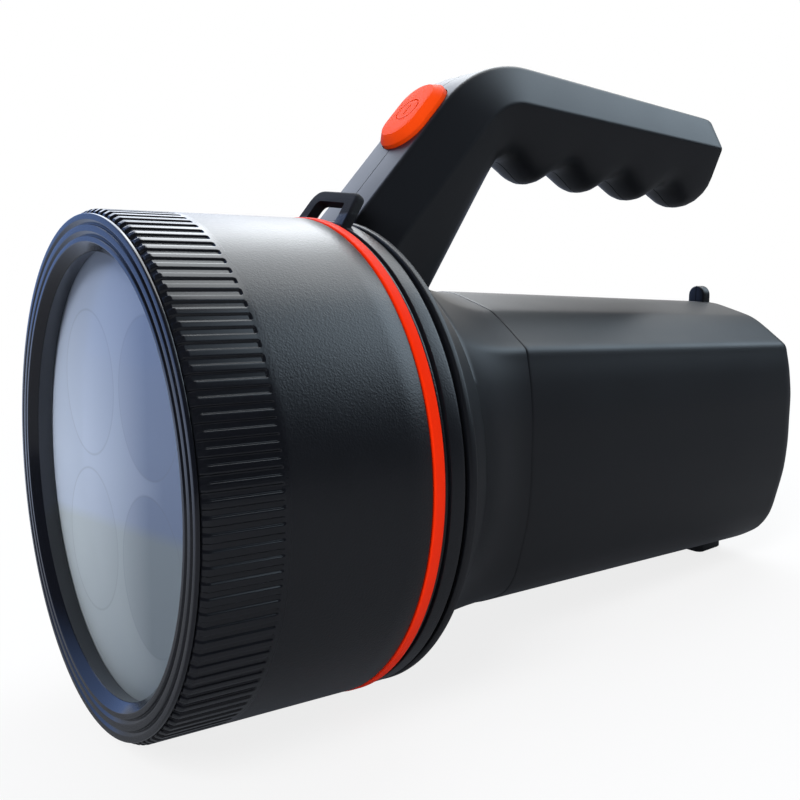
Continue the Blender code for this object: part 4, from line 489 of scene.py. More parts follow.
def eased(loop, steps=5):
    """Round the corners of a closed line of (point, radius) pairs with short Bezier arcs."""
    points = [Vector(point) for point, _ in loop]
    line = []
    for index, (point, (_, radius)) in enumerate(zip(points, loop)):
        if radius <= 0.0:
            line.append(point)
            continue
        before = points[index - 1] - point
        after = points[(index + 1) % len(points)] - point
        start = point + before.normalized() * min(radius, before.length * 0.48)
        end = point + after.normalized() * min(radius, after.length * 0.48)
        for step in range(steps + 1):
            t = step / steps
            line.append(start * (1 - t) ** 2 + point * (2 * t * (1 - t)) + end * t ** 2)
    return line


def loft(name, rings):
    """Return a closed mesh lofted through rings of equal point counts."""
    form = bmesh.new()
    loops = [[form.verts.new(point) for point in ring] for ring in rings]
    for near, far in zip(loops, loops[1:]):
        for i, j in enumerate([*range(1, len(near)), 0]):
            form.faces.new((near[i], near[j], far[j], far[i]))
    form.faces.new(list(reversed(loops[0])))
    form.faces.new(loops[-1])
    return new_mesh(name, form)


def turned(name, profile, steps=240):
    """Return a ring or disc turned about the lens axis from (radius, station, corner) points."""
    line = eased([((radius, station), corner) for radius, station, corner in profile], steps=4)
    form = bmesh.new()
    loops = []
    for index in range(steps):
        angle = 2 * math.pi * index / steps
        loops.append([None if p.x < 1e-7 else form.verts.new((p.x * math.cos(angle), p.y, p.x * math.sin(angle)))
                      for p in line])
    poles = {i: form.verts.new((0.0, p.y, 0.0)) for i, p in enumerate(line) if p.x < 1e-7}
    for here, there in zip(loops, loops[1:] + loops[:1]):
        for i, j in enumerate([*range(1, len(line)), 0]):
            if i in poles and j in poles:
                continue
            if i in poles:
                corners = (poles[i], there[j], here[j])
            elif j in poles:
                corners = (here[i], there[i], poles[j])
            else:
                corners = (here[i], there[i], there[j], here[j])
            form.faces.new(corners)
    return new_mesh(name, form)


def extruded(name, outline, low, high, matrix, corner=0.0, steps=3):
    """Return a plate from an outline in the matrix's plane, with rounded edges."""
    levels = [(low, 0.0), (high, 0.0)]
    if corner > 0.0:
        arc = [(corner * (1 - math.sin(a)), corner * (1 - math.cos(a)))
               for a in (QUARTER * s / steps for s in range(steps + 1))]
        levels = [(low + rise, inset) for rise, inset in reversed(arc)]
        levels += [(high - rise, inset) for rise, inset in arc]
    rings = []
    for level, inset in levels:
        ring = shrunk(outline, inset) if inset else outline
        rings.append([matrix @ Vector((x, y, level)) for x, y in ring])
    return loft(name, rings)


def shrunk(outline, inset):
    """Return a closed outline moved inward by inset."""
    points = [Vector(p) for p in outline]
    area = sum(a.x * b.y - b.x * a.y for a, b in zip(points, points[1:] + points[:1]))
    side = 1.0 if area > 0 else -1.0
    moved = []
    for index, point in enumerate(points):
        before = point - points[index - 1]
        after = points[(index + 1) % len(points)] - point
        before = before.normalized() if before.length > 1e-9 else after.normalized()
        after = after.normalized() if after.length > 1e-9 else before
        bisector = Vector((-(before.y + after.y), before.x + after.x)) * side
        bisector.normalize()
        cosine = max(0.35, abs(bisector.dot(Vector((-after.y, after.x)))))
        moved.append(point + bisector * (inset / cosine))
    return moved


def rounded_rectangle(length_y, width_x, corner, steps=8):
    """Return the outline of a rounded rectangle, long along local Y."""
    outline = []
    for quarter, (sx, sy) in enumerate(((1, 1), (-1, 1), (-1, -1), (1, -1))):
        for step in range(steps + 1):
            angle = (quarter + step / steps) * QUARTER
            outline.append((sx * (width_x / 2 - corner) + corner * math.cos(angle),
                            sy * (length_y / 2 - corner) + corner * math.sin(angle)))
    return outline


def rod(name, radius, low, high, matrix, steps=32, corner=0.0):
    """Return a cylinder along the matrix's Z from low to high."""
    circle = [(radius * math.cos(2 * math.pi * i / steps), radius * math.sin(2 * math.pi * i / steps))
              for i in range(steps)]
    return extruded(name, circle, low, high, matrix, corner)


def block(name, low, high):
    """Return a box between two corners."""
    form = bmesh.new()
    low, high = Vector(low), Vector(high)
    place = Matrix.Translation((low + high) / 2) @ Matrix.Diagonal((*(high - low), 1.0))
    bmesh.ops.create_cube(form, size=1.0, matrix=place)
    return new_mesh(name, form)


def combined(base, steps):
    """Apply Boolean steps to a mesh in order and return the result as a new object."""
    obj = add_object(base.name, base)
    helpers = []
    for operation, mesh in steps:
        helpers.append(add_object(mesh.name, mesh))
        modifier = obj.modifiers.new(mesh.name, "BOOLEAN")
        modifier.operation = operation
        modifier.solver = "EXACT"
        modifier.object = helpers[-1]
    baked(obj)
    for helper in helpers:
        mesh = helper.data
        bpy.data.objects.remove(helper)
        bpy.data.meshes.remove(mesh)
    return obj


def along_y(x, y, z):
    """Return a matrix at a place, with its Z towards the tail."""
    return Matrix.Translation((x, y, z)) @ Matrix.Rotation(-QUARTER, 4, "X")


def along_x(x, y, z):
    """Return a matrix at a place, with its Z towards the right side."""
    return Matrix.Translation((x, y, z)) @ Matrix.Rotation(QUARTER, 4, "Y")


def repeating_group(name, inputs, placed, join=0.0):
    """Return a node group with named inputs that places copies, makes them real and gives them a material.

    Edges of neighbouring copies are joined where they lie within the join distance.
    """
    group = bpy.data.node_groups.new(name, "GeometryNodeTree")
    for label, kind in (("Geometry", "Geometry"), *inputs, ("Material", "Material")):
        group.interface.new_socket(label, in_out="INPUT", socket_type="NodeSocket" + kind)
    group.interface.new_socket("Geometry", in_out="OUTPUT", socket_type="NodeSocketGeometry")
    nodes = Nodes(group)
    given = nodes.node("NodeGroupInput").outputs
    result = nodes.node("NodeGroupOutput")
    copies = nodes.node("GeometryNodeInstanceOnPoints", placed(nodes, given))
    real = nodes.node("GeometryNodeRealizeInstances", {"Geometry": copies})
    if join:
        real = nodes.node("GeometryNodeMergeByDistance", {"Geometry": real, "Distance": join})
    dressed = nodes.node("GeometryNodeSetMaterial", {"Geometry": real, "Material": given["Material"]})
    nodes.feed(result.inputs[0], dressed)
    return group


def round_the_axis(nodes, given):
    """Place the geometry at equal turns about the lens axis."""
    points = nodes.node("GeometryNodePoints", {"Count": given["Slots"]})
    index = Value(nodes, nodes.node("GeometryNodeInputIndex").outputs[0])
    angles = nodes.node("ShaderNodeCombineXYZ", {"Y": (index * (2 * math.pi)).math("DIVIDE", given["Slots"])})
    rotation = nodes.node("FunctionNodeEulerToRotation", {0: angles})
    return {"Points": points, "Instance": given["Geometry"], "Rotation": rotation}


def on_seats(nodes, given):
    """Place the screw on every vertex, turned to the vertex's axis."""
    shape = nodes.node("GeometryNodeObjectInfo", {"Object": given["Screw"]})
    axis = nodes.node("GeometryNodeInputNamedAttribute", {"Name": "axis"}, data_type="FLOAT_VECTOR")
    turn = nodes.node("FunctionNodeAlignRotationToVector", {"Vector": axis}, axis="Z")
    return {"Points": given["Geometry"], "Instance": shape.outputs["Geometry"], "Rotation": turn,
            "Scale": given["Scale"]}


def run_nodes(obj, group, values):
    """Run a node group on an object with named inputs and make the result plain."""
    modifier = obj.modifiers.new(group.name, "NODES")
    modifier.node_group = group
    for item in group.interface.items_tree:
        if item.in_out == "INPUT" and item.name in values:
            modifier[item.identifier] = values[item.name]
    baked(obj)


def slot_share(across, ahead, half):
    """Return how deep a slot is at a point, from 0 on the rib to 1 on its floor: ahead is measured from its end."""
    out_across, out_along = abs(across) - half + SLOT_CORNER, SLOT_CORNER - ahead
    if out_across > 0.0 and out_along > 0.0:
        within = SLOT_CORNER - math.hypot(out_across, out_along)
    else:
        within = min(half - abs(across), ahead)
    share = min(1.0, max(0.0, within / SLOT_WALL))
    return share * share * (3.0 - 2.0 * share)


def flute_rows(sizes):
    """Return the barrel's outside stations as (radius, station, slot depth), bevelled at the front."""
    radius, front, rear, end = sizes.barrel_radius, sizes.barrel_front, sizes.barrel_end, sizes.flute_end
    bevel, rise, cut, depth = 0.0013, 0.0008, 0.0009, sizes.flute_depth
    rows = [(radius - rise - 0.0002, front, cut - 0.0002)]
    rows += [(radius - rise * (1 - share), front + bevel * share, cut + (depth - cut) * share)
             for share in (0.10, 0.35, 0.70, 1.0)]
    start, fine = front + bevel, end - 0.0011
    rows += [(radius, start + (fine - start) * share, depth) for share in (0.03, 0.25, 0.50, 0.75, 1.0)]
    rows += [(radius, end - back, depth) for back in
             (0.00095, 0.0008, 0.00065, 0.0005, 0.0004, 0.0003, 0.0002, 0.0001, 0.0, -0.0001)]
    rows += [(radius, end + (rear - 0.0008 - end) * share, 0.0) for share in (0.15, 0.4, 0.65, 0.85)]
    return rows + [(radius, rear - 0.0005, 0.0), (radius - 0.0002, rear - 0.0001, 0.0), (radius - 0.0006, rear, 0.0)]


def flute_sector(sizes):
    """Return one slot's share of the barrel: outside, rear face, bore and front face."""
    angle = 2 * math.pi / sizes.flute_count
    pitch = angle * sizes.barrel_radius
    front, rear, bore = sizes.barrel_front, sizes.barrel_end, sizes.barrel_bore
    rows = flute_rows(sizes) + [(bore, rear, 0.0), (bore, (front + rear) / 2, 0.0), (bore, front, 0.0)]
    columns = [-c for c in reversed(SLOT_COLUMNS[1:])] + list(SLOT_COLUMNS)
    form = bmesh.new()
    grid = []
    for r, y, depth in rows:
        line = []
        for column in columns:
            inner = r - depth * slot_share(column * pitch, sizes.flute_end - y, SLOT_HALF * pitch)
            a = angle * column
            line.append(form.verts.new((inner * math.cos(a), y, inner * math.sin(a))))
        grid.append(line)
    for near, far in zip(grid, grid[1:] + grid[:1]):
        for i in range(len(columns) - 1):
            form.faces.new((near[i], near[i + 1], far[i + 1], far[i]))
    mesh = bpy.data.meshes.new("head_barrel")
    form.to_mesh(mesh)
    form.free()
    return mesh


def bezel_profile(sizes):
    """Front ring: flat lands, two fine grooves, a wide bevel, a lens ledge and a skirt inside the barrel."""
    face, back = 0.00003, sizes.barrel_front - 0.0003
    skirt, radius, bore = sizes.barrel_bore - 0.0003, sizes.bezel_radius, sizes.bezel_bore
    land, groove, bevel, ledge, wall, end = 0.0015, 0.0013, 0.0024, 0.0068, 0.0022, 0.0123
    profile = [(skirt, end, 0.0003), (skirt, back, 0.0001), (radius, back, 0.0002), (radius, face, 0.0004)]
    for edge in (radius - land, radius - 2 * land - groove):
        profile += [(edge, face, 0.00016), (edge - groove + 0.0003, 0.0007, 0.00010), (edge - groove, face, 0.00014)]
    return profile + [(bore + bevel, face, 0.0002), (bore, bevel, 0.0003), (bore + 0.0014, ledge, 0.0001),
                      (skirt - wall, ledge, 0.0001), (skirt - wall, end, 0.0003)]


def collar_profile(sizes):
    """Collar with its groove, spigot, plate and clamped hub."""
    start, end, radius = sizes.collar_start, sizes.collar_start + sizes.collar_width, sizes.collar_radius
    spigot = sizes.barrel_bore - 0.0005
    groove, depth = start + sizes.collar_width * 0.22, 0.0012
    hub, lip, hub_bore, cable_hole = 0.0460, 0.0495, 0.0420, 0.0080
    front, plate, hub_end = start - 0.0120, end - 0.0040, end + 0.0084
    return [(lip, hub_end, 0.0002), (lip, end + 0.0058, 0.0002), (hub, end + 0.0058, 0.0002),
            (hub, end, 0.0), (radius - 0.0004, end, 0.0002), (radius, end - 0.0005, 0.0005),
            (radius, groove + 0.0005, 0.0003), (radius - depth, groove + 0.0004, 0.0002),
            (radius - depth, groove - 0.0004, 0.0002), (radius - 0.0002, groove - 0.0005, 0.0002),
            (radius - 0.0002, start + 0.0002, 0.0002), (radius - 0.0005, start, 0.0001), (spigot, start, 0.0),
            (spigot, front, 0.0004), (spigot - 0.0030, front, 0.0004),
            (spigot - 0.0030, plate, 0.0008), (cable_hole, plate, 0.0004), (cable_hole, end, 0.0004),
            (hub_bore, end, 0.0), (hub_bore, hub_end, 0.0002)]


def loop_steps(sizes):
    """Return the Boolean steps of the strap loop, which leans back from the collar."""
    turn = Matrix.Rotation(math.radians(5.5), 4, "Y")
    stand = Matrix.Rotation(math.radians(90.0 - 33.0), 4, "X")
    middle = sizes.collar_start + sizes.collar_width / 2
    place = turn @ Matrix.Translation((0, middle, sizes.collar_radius)) @ stand
    root, reach, bar, foot = -0.0022, 0.0088, 0.0036, -0.0011
    outer = eased([((0.0128, root), 0.0), ((0.0112, reach), 0.0022), ((-0.0112, reach), 0.0046),
                   ((-0.0128, root), 0.0)], steps=8)
    inner = eased([((0.0078, foot), 0.0002), ((0.0072, reach - bar), 0.0012), ((-0.0072, reach - bar), 0.0022),
                   ((-0.0078, foot), 0.0002)], steps=8)
    return [(ADD, extruded("loop", outer, -0.0015, 0.0015, place, 0.0009, 5)),
            (CUT, extruded("loop_hole", inner, -0.0060, 0.0060, place))]


def cup_points(grow, front):
    """Return a smooth parabolic cup's (radius, station, corner) points, closed at its front."""
    depth = 0.0150
    points = []
    for step in range(19):
        share = (step / 18) ** 1.5
        points.append((0.0050 + grow + 0.0145 * math.sqrt(share), CUP_FLOOR - depth * share, 0.0))
    return points + [(points[-1][0], front, 0.0), (0.0, front, 0.0), (0.0, CUP_FLOOR, 0.0)]


def reflector_steps(sizes):
    """Return the Boolean steps of the four cups in the reflector's plate."""
    half = sizes.cup_spacing / 2
    places = [(half, half), (-half, half), (-half, -half), (half, -half)]

    def cup(name, points, x, z):
        mesh = turned(name, points, 96)
        mesh.transform(Matrix.Translation((x, 0.0, z)))
        return mesh

    steps = [(ADD, cup("cup_outside", cup_points(0.0012, CUP_FLOOR - 0.0136), x, z)) for x, z in places]
    bowl = cup_points(0.0, CUP_FLOOR - 0.0168)
    bowl[-1] = (0.0, CUP_FLOOR - 0.0012, 0.0)
    bowl[0] = (0.0050, CUP_FLOOR - 0.0012, 0.0)
    for x, z in places:
        steps.append((CUT, cup("cup_inside", bowl, x, z)))
        hole = rod("emitter_hole", 0.0042, CUP_FLOOR - 0.0058, CUP_FLOOR + 0.0042, along_y(x, 0.0, z), 48)
        steps.append((CUT, hole))
    return steps


def smooth_loop(points, steps, pull):
    """Return a closed line with a smooth curve between points, tighter where pull is low."""
    count = len(points)
    line = []
    for i in range(count):
        a, b, c, d = (Vector(points[(i + k) % count]) for k in (-1, 0, 1, 2))
        near = min((b - a).length, (c - b).length)
        far = min((d - c).length, (c - b).length)
        leave = (c - a).normalized() * near * pull
        arrive = (d - b).normalized() * far * pull
        for step in range(steps):
            t = step / steps
            line.append(b * (2 * t ** 3 - 3 * t ** 2 + 1) + leave * (t ** 3 - 2 * t ** 2 + t)
                        + c * (3 * t ** 2 - 2 * t ** 3) + arrive * (t ** 3 - t ** 2))
    return line


def body_section(sizes, y, inset, fine=4):
    """Return the body's outline at a station as (x, z) points."""
    share = min(max((y - sizes.body_front) / (sizes.body_end - sizes.body_front), 0.0), 1.0)
    half = sizes.body_half_width * (1 - 0.104 * share) - inset
    top = sizes.body_top * (1 - 0.095 * share) - inset
    bottom = sizes.body_bottom * (1 - 0.030 * share) - inset
    right = [(half * across, up * (top if up > 0 else bottom)) for across, up in BODY_OUTLINE_SHARES]
    outline = right + [(-x, z) for x, z in reversed(right[1:-1])]
    return smooth_loop(outline, fine, 0.9) if fine > 1 else [Vector(p) for p in outline]


def ring_at(y, outline):
    """Place an outline at a station."""
    return [(p[0], y, p[1]) for p in outline]


def body_mesh(sizes):
    """Neck that grows from a circle into the body, rounded shoulder, taper and rounded rear."""
    step_in, soft, rear = 0.0002, 0.0008, 0.0100
    front, shoulder, start = sizes.body_front, sizes.body_front - soft, 0.0832
    stepped = body_section(sizes, front, step_in)

    def circle(radius):
        return [Vector(p).normalized() * radius for p in stepped]

    neck = circle(sizes.neck_radius - 0.0003)
    rings = [ring_at(0.0760, circle(sizes.neck_radius - 0.0006)), ring_at(start, neck)]
    for step in range(1, 13):
        t = step / 12
        share = 1 - (1 - t) ** 1.9
        rings.append(ring_at(start + (shoulder - start) * t, [a.lerp(b, share) for a, b in zip(neck, stepped)]))
    for step in range(1, 7):
        angle = step / 6 * QUARTER
        rings.append(ring_at(shoulder + soft * (1 - math.cos(angle)) + 0.00001 * step,
                             body_section(sizes, front, step_in * (1 - math.sin(angle)))))
    end = sizes.body_end - rear
    for share in (0.25, 0.5, 0.75):
        y = front + (end - front) * share
        rings.append(ring_at(y, body_section(sizes, y, 0.0)))
    for step in range(9):
        angle = step / 8 * QUARTER
        rings.append(ring_at(end + rear * math.sin(angle), body_section(sizes, end, rear * (1 - math.cos(angle)))))
    return loft("right_shell", rings)


def body_cavity(sizes):
    """Space inside the body, one wall in."""
    front, end, wall, rear = sizes.body_front, sizes.body_end, sizes.wall, 0.0100
    levels = ((front - 0.0045, front, wall + 0.0025), (front + wall, front, wall + 0.0025),
              (front + 2 * wall, front, wall), (end - rear, end - rear, wall), (end - wall, end - rear, rear))
    return loft("body_cavity", [ring_at(y, body_section(sizes, like, inset, 1)) for y, like, inset in levels])


def bent_line(foot, corner, end, radius, runs):
    """Return points along two straight lines joined by an arc: runs gives the counts of the three parts."""
    foot, corner, end = Vector(foot), Vector(corner), Vector(end)
    first, second = (corner - foot).normalized(), (end - corner).normalized()
    turn = first.angle(second)
    reach = radius * math.tan(turn / 2)
    enter, leave = corner - first * reach, corner + second * reach
    spoke = -Vector((first.y, -first.x)) * radius
    centre = enter - spoke
    points = [foot.lerp(enter, step / runs[0]) for step in range(runs[0])]
    for step in range(runs[1]):
        angle = turn * step / runs[1]
        points.append(centre + Vector((spoke.x * math.cos(angle) + spoke.y * math.sin(angle),
                                       spoke.y * math.cos(angle) - spoke.x * math.sin(angle))))
    return points + [leave.lerp(end, step / runs[2]) for step in range(runs[2] + 1)]


def finger_rise(y):
    """Return how far the underside rises above the first finger crest at a station."""
    last = FIRST_CREST + 3 * FINGER_PITCH
    higher = 0.0009 * min(1.0, max(0.0, (y - FIRST_CREST) / (last - FIRST_CREST)))
    if y > last:
        return higher + 0.0022 * ((y - last) / (GRIP_END - last)) ** 2
    return higher + FINGER_DEPTH * math.sin(math.pi * (y - FIRST_CREST) / FINGER_PITCH) ** 2


def handle_rings(inset, fingers):
    """Return the handle's sections, six-sided with rounded corners, from the arm's root to the grip's end."""
    end = GRIP_END - inset
    runs = (6, 14, 64) if fingers else (3, 6, 3)
    top = bent_line(ARM_FOOT, ARM_BEND, (end, 0.1065), 0.0370, runs)
    side = bent_line((0.0808, 0.0579), (0.1205, 0.1023), (end, 0.0959), 0.0175, runs)
    rear = bent_line((0.0980, 0.0427), (0.1255, 0.0867), (end, 0.0803), 0.0060, runs)
    root = (Vector((0.0709, 0.0440)), Vector((0.0808, 0.0440)), Vector((0.0974, 0.0420)))
    rows = [root] + list(zip(top, side, rear))
    rings = []
    for index, (crown, flank, keel) in enumerate(rows):
        drop = FINGER_DEPTH - finger_rise(keel.x) if fingers and index > runs[0] + runs[1] else 0.0
        inward = (keel - crown).normalized()
        close, past = inset, index - (len(rows) - 5)
        if fingers and past > 0:
            close += 0.0004 * (1 - math.sqrt(max(0.0, 1 - (past / 4) ** 2)))
        crown, crest = crown + inward * close, keel - inward * close - Vector((0.0, drop))
        halves = (0.0108 - close, 0.0165 - close, 0.0100 - close - 0.0022 * drop / FINGER_DEPTH)
        corners = [(halves[0], crown, 0.0012), (halves[1], flank, 0.0009), (halves[2], crest, 0.0085)]
        loop = [((x, *p), r if fingers else 0.0) for x, p, r in corners]
        loop += [((-x, *p), r if fingers else 0.0) for x, p, r in reversed(corners)]
        rings.append(eased(loop))
    return rings


def flange_profile(sizes):
    """Front of the housing: dark groove, rim and cone down to the neck."""
    start, end, radius = sizes.rim_start, sizes.rim_end, sizes.rim_radius
    front = start - 0.0010
    return [(0.0, 0.0832, 0.0), (sizes.neck_radius, 0.0832, 0.0010), (0.0582, 0.0760, 0.0020),
            (radius - 0.0006, end, 0.0004), (radius, end - 0.0006, 0.0005), (radius, start + 0.0005, 0.0004),
            (radius - 0.0005, start, 0.0002), (radius - 0.0032, start, 0.0), (radius - 0.0032, front, 0.0),
            (0.0, front, 0.0)]


def flange_cavity_profile():
    """Opening that clamps the hub, and the space behind it."""
    return [(0.0, 0.1085, 0.0), (0.0373, 0.1085, 0.0), (0.0498, 0.0785, 0.0), (0.0498, 0.0731, 0.0),
            (0.0463, 0.0731, 0.0), (0.0463, 0.0639, 0.0), (0.0, 0.0639, 0.0)]


def button_matrix():
    """Return the button's frame: on the arm's front face, Z out, Y up the arm."""
    angle = math.atan2(ARM_BEND[1] - ARM_FOOT[1], ARM_BEND[0] - ARM_FOOT[0])
    along = Vector((0.0, math.cos(angle), math.sin(angle)))
    place = Vector((0.0, *ARM_FOOT)) + along * bpy.context.scene.torch_housing.button_along
    return Matrix.Translation(place) @ Matrix.Rotation(angle, 4, "X")


def foot_mesh():
    """Low moulded foot with rounded edges, its underside level with the ground."""
    tilt = math.atan2(0.0657 - 0.0522, 0.2330 - 0.0715 + 0.0006)
    place = Matrix.Translation((0, 0.2330, -0.0522)) @ Matrix.Rotation(tilt, 4, "X")
    return extruded("foot", rounded_rectangle(0.0130, 0.0200, 0.0025), 0.0, 0.0060, place, 0.0005)


def stud_mesh():
    """Round-topped stud on the crown, near the rear."""
    radius, low, high = 0.0035, 0.0360, 0.0443
    top = [(radius * math.cos(math.pi * s / 16), high + radius * math.sin(math.pi * s / 16)) for s in range(17)]
    place = Matrix.Translation((0, 0.2322, 0)) @ Matrix.Rotation(QUARTER, 4, "X")
    return extruded("stud", [(radius, low)] + top + [(-radius, low)], -0.0020, 0.0020, place, 0.0006)


def shell_steps(sizes):
    """Return the Boolean steps that turn the body into the hollow housing."""
    seat = button_matrix()
    socket = along_y(0, 0, SOCKET_HEIGHT)
    opening, pocket = (rounded_rectangle(sizes.button_length + gap, sizes.button_width + gap, sizes.button_corner)
                       for gap in (0.0004, 0.0028))
    steps = [(ADD, turned("flange", flange_profile(sizes))), (ADD, loft("handle", handle_rings(0.0, True))),
             (ADD, foot_mesh()), (ADD, stud_mesh()),
             (CUT, turned("flange_cavity", flange_cavity_profile(), 96)),
             (CUT, body_cavity(sizes)), (CUT, loft("handle_cavity", handle_rings(0.0026, False))),
             (CUT, extruded("button_opening", opening, -0.0066, 0.0066, seat)),
             (CUT, extruded("button_pocket", pocket, -0.0103, -0.0026, seat)),
             (ADD, rod("socket_boss", 0.0135, 0.2365, 0.2415, socket, 64)),
             (CUT, rod("cover_recess", 0.0090, 0.2405, 0.2470, socket, 96)),
             (CUT, block("hinge_slot", (-0.0045, 0.2405, SOCKET_HEIGHT), (0.0045, 0.2470, 0.0255))),
             (CUT, rod("socket_hole", 0.0030, 0.2300, 0.2440, socket, 48))]
    steps += [(ADD, rod("screw_boss", 0.0049, -outside + 0.0006, outside - 0.0006, along_x(0, y, z)))
              for y, z, _, outside in SHELL_SCREWS]
    for y, z, depth, _ in SHELL_SCREWS:
        steps += [(CUT, rod("screw_well", 0.0031, -0.0500, -depth, along_x(0, y, z), 48)),
                  (CUT, rod("screw_hole", SCREW_HOLE, -depth - 0.0006, 0.0096, along_x(0, y, z)))]
    return steps


def half_of(mesh, side):
    """Return one side of a mesh, cut and closed just off the parting plane."""
    form = bmesh.new()
    form.from_mesh(mesh)
    geometry = list(form.verts) + list(form.edges) + list(form.faces)
    cut = bmesh.ops.bisect_plane(form, geom=geometry, plane_co=(side * 0.00015, 0, 0), plane_no=(side, 0, 0),
                                 clear_inner=True)
    edges = [e for e in cut["geom_cut"] if isinstance(e, bmesh.types.BMEdge)]
    bmesh.ops.triangle_fill(form, use_beauty=True, use_dissolve=False, edges=edges)
    return form


def power_symbol(matrix, base, height):
    """Return the sunk lines of the power symbol: a ring and a bar inside it."""
    radius, half = 0.0040, 0.00022
    line = turned("power_ring", [(radius - half, base, 0.0), (radius + half, base, 0.0),
                                 (radius + half, base + height, 0.0), (radius - half, base + height, 0.0)], 96)
    line.transform(matrix @ Matrix.Rotation(QUARTER, 4, "X"))
    bar = extruded("power_bar", rounded_rectangle(0.0044, 2 * half, half * 0.9, 3), base, base + height, matrix)
    return line, bar


def button_mesh_steps(sizes):
    """Return the button's chamfered cap as a mesh and its Boolean steps."""
    seat = button_matrix()
    proud, chamfer, soft = sizes.button_proud, sizes.button_chamfer, 0.0002
    levels = [(-0.0041, 0.0009), (-0.0029, 0.0009), (-0.0029, 0.0), (proud - chamfer - soft, 0.0),
              (proud - chamfer + soft * 0.3, -soft * 0.3), (proud - soft * 0.7, soft * 0.7 - chamfer),
              (proud - soft * 0.2, soft * 0.2 - chamfer), (proud, -chamfer - soft), (proud, -0.0045)]
    rings = []
    for level, grow in levels:
        outline = rounded_rectangle(sizes.button_length + 2 * grow, sizes.button_width + 2 * grow,
                                    sizes.button_corner + grow, 16)
        rings.append([seat @ Vector((x, y, level)) for x, y in outline])
    line, bar = power_symbol(seat, proud - 0.0003, 0.0006)
    stem = rod("button_stem", 0.0030, -0.0076, -0.0035, seat, 48, 0.0003)
    return loft("power_button", rings), [(ADD, stem), (CUT, line), (CUT, bar)]


def cover_mesh_steps():
    """Return the charging cover as a disc with a raised rim and its Boolean steps."""
    floor, socket, hinge = COVER_FLOOR, along_y(0, 0, SOCKET_HEIGHT), along_x(0, 0.2425, 0.0235)
    disc = rod("charge_cover", 0.0085, floor, floor + 0.0020, socket, 96, 0.0005)
    return disc, [
        (CUT, rod("cover_dish", 0.0062, floor + 0.0016, floor + 0.0030, socket, 96)),
        (ADD, block("cover_grip", (-0.0030, floor + 0.0010, 0.0046), (0.0030, floor + 0.0020, 0.0056))),
        (ADD, block("cover_tab", (-0.0037, floor + 0.0003, 0.0170), (0.0037, floor + 0.0019, 0.0232))),
        (ADD, rod("cover_knuckle", 0.00148, -0.0040, 0.0040, hinge, 48, 0.0002)),
        (ADD, rod("cover_plug", 0.0021, floor - 0.0017, floor + 0.0005, socket, 48, 0.0003)),
        (CUT, rod("cover_bore", 0.0010, -0.0060, 0.0060, hinge))]


def screw_head_steps():
    """Return a pan head at its seat, Z towards the tip, and the steps of its cross recess."""
    radius, soft, side, half, slot = 0.0028, 0.0012, 0.0008, 0.0015, 0.00032
    edge = [(radius - soft * (1 - math.cos(a)), -side - soft * math.sin(a), 0.0)
            for a in (QUARTER * s / 6 for s in range(7))]
    mesh = turned("screw_head", [(0.0, 0.0, 0.0), (radius, 0.0, 0.0), *edge, (0.0, -side - soft, 0.0)], 40)
    mesh.transform(Matrix.Rotation(QUARTER, 4, "X"))
    return mesh, [(CUT, block("recess", (-x, -y, -0.0030), (x, y, -0.0009))) for x, y in ((half, slot), (slot, half))]


class TORCH_OT_barrel(Operator):
    """Fluted barrel, its slots repeated round the axis by Geometry Nodes"""

    bl_idname = "torch.barrel"
    bl_label = "Barrel"

    def execute(self, context):
        sizes, look = context.scene.torch_head, context.scene.torch_finishes
        material = barrel_plastic("Barrel", look.black)
        obj = add_object("barrel", flute_sector(sizes))
        group = repeating_group("Repeat round the axis", [("Slots", "Int")], round_the_axis, 0.000002)
        run_nodes(obj, group, {"Slots": sizes.flute_count, "Material": material})
        changed(obj, lambda form: bmesh.ops.recalc_face_normals(form, faces=form.faces))
        finish_piece(obj, material, "head", ["head_barrel"], 40.0)
        return {"FINISHED"}


class TORCH_OT_front_ring(Operator):
    """Glossy front ring with its two grooves"""

    bl_idname = "torch.front_ring"
    bl_label = "Front ring"

    def execute(self, context):
        sizes, look = context.scene.torch_head, context.scene.torch_finishes
        obj = add_object("front_ring", turned("front_bezel", bezel_profile(sizes)))
        finish_piece(obj, bezel_plastic("Front ring", look.gloss), "head", ["front_bezel"])
        return {"FINISHED"}


class TORCH_OT_lens(Operator):
    """Clear window with a softened edge"""

    bl_idname = "torch.lens"
    bl_label = "Lens"

    def execute(self, context):
        edge, front, back = context.scene.torch_head.barrel_bore - 0.0028, 0.0071, 0.0091
        profile = [(0.0, back, 0.0), (edge, back, 0.0003), (edge, front, 0.0003), (0.0, front, 0.0)]
        obj = add_object("window", turned("lens", profile))
        finish_piece(obj, lens_glass("Lens"), "head", ["lens"])
        return {"FINISHED"}


class TORCH_OT_reflector(Operator):
    """Plate with four smooth metallised cups"""

    bl_idname = "torch.reflector"
    bl_label = "Reflector"

    def execute(self, context):
        sizes, look = context.scene.torch_head, context.scene.torch_finishes
        edge, front, plate, skirt = sizes.bezel_bore + 0.0004, 0.0094, 0.0110, 0.0124
        profile = [(0.0, front, 0.0), (edge, front, 0.0002), (edge, skirt, 0.0002),
                   (edge - 0.0016, skirt, 0.0002), (edge - 0.0016, plate, 0.0), (0.0, plate, 0.0)]
        obj = combined(turned("reflector", profile, 144), reflector_steps(sizes))
        finish_piece(obj, reflector_metal("Reflector", look.mirror), "housing", ["reflector"], 28.0)
        return {"FINISHED"}


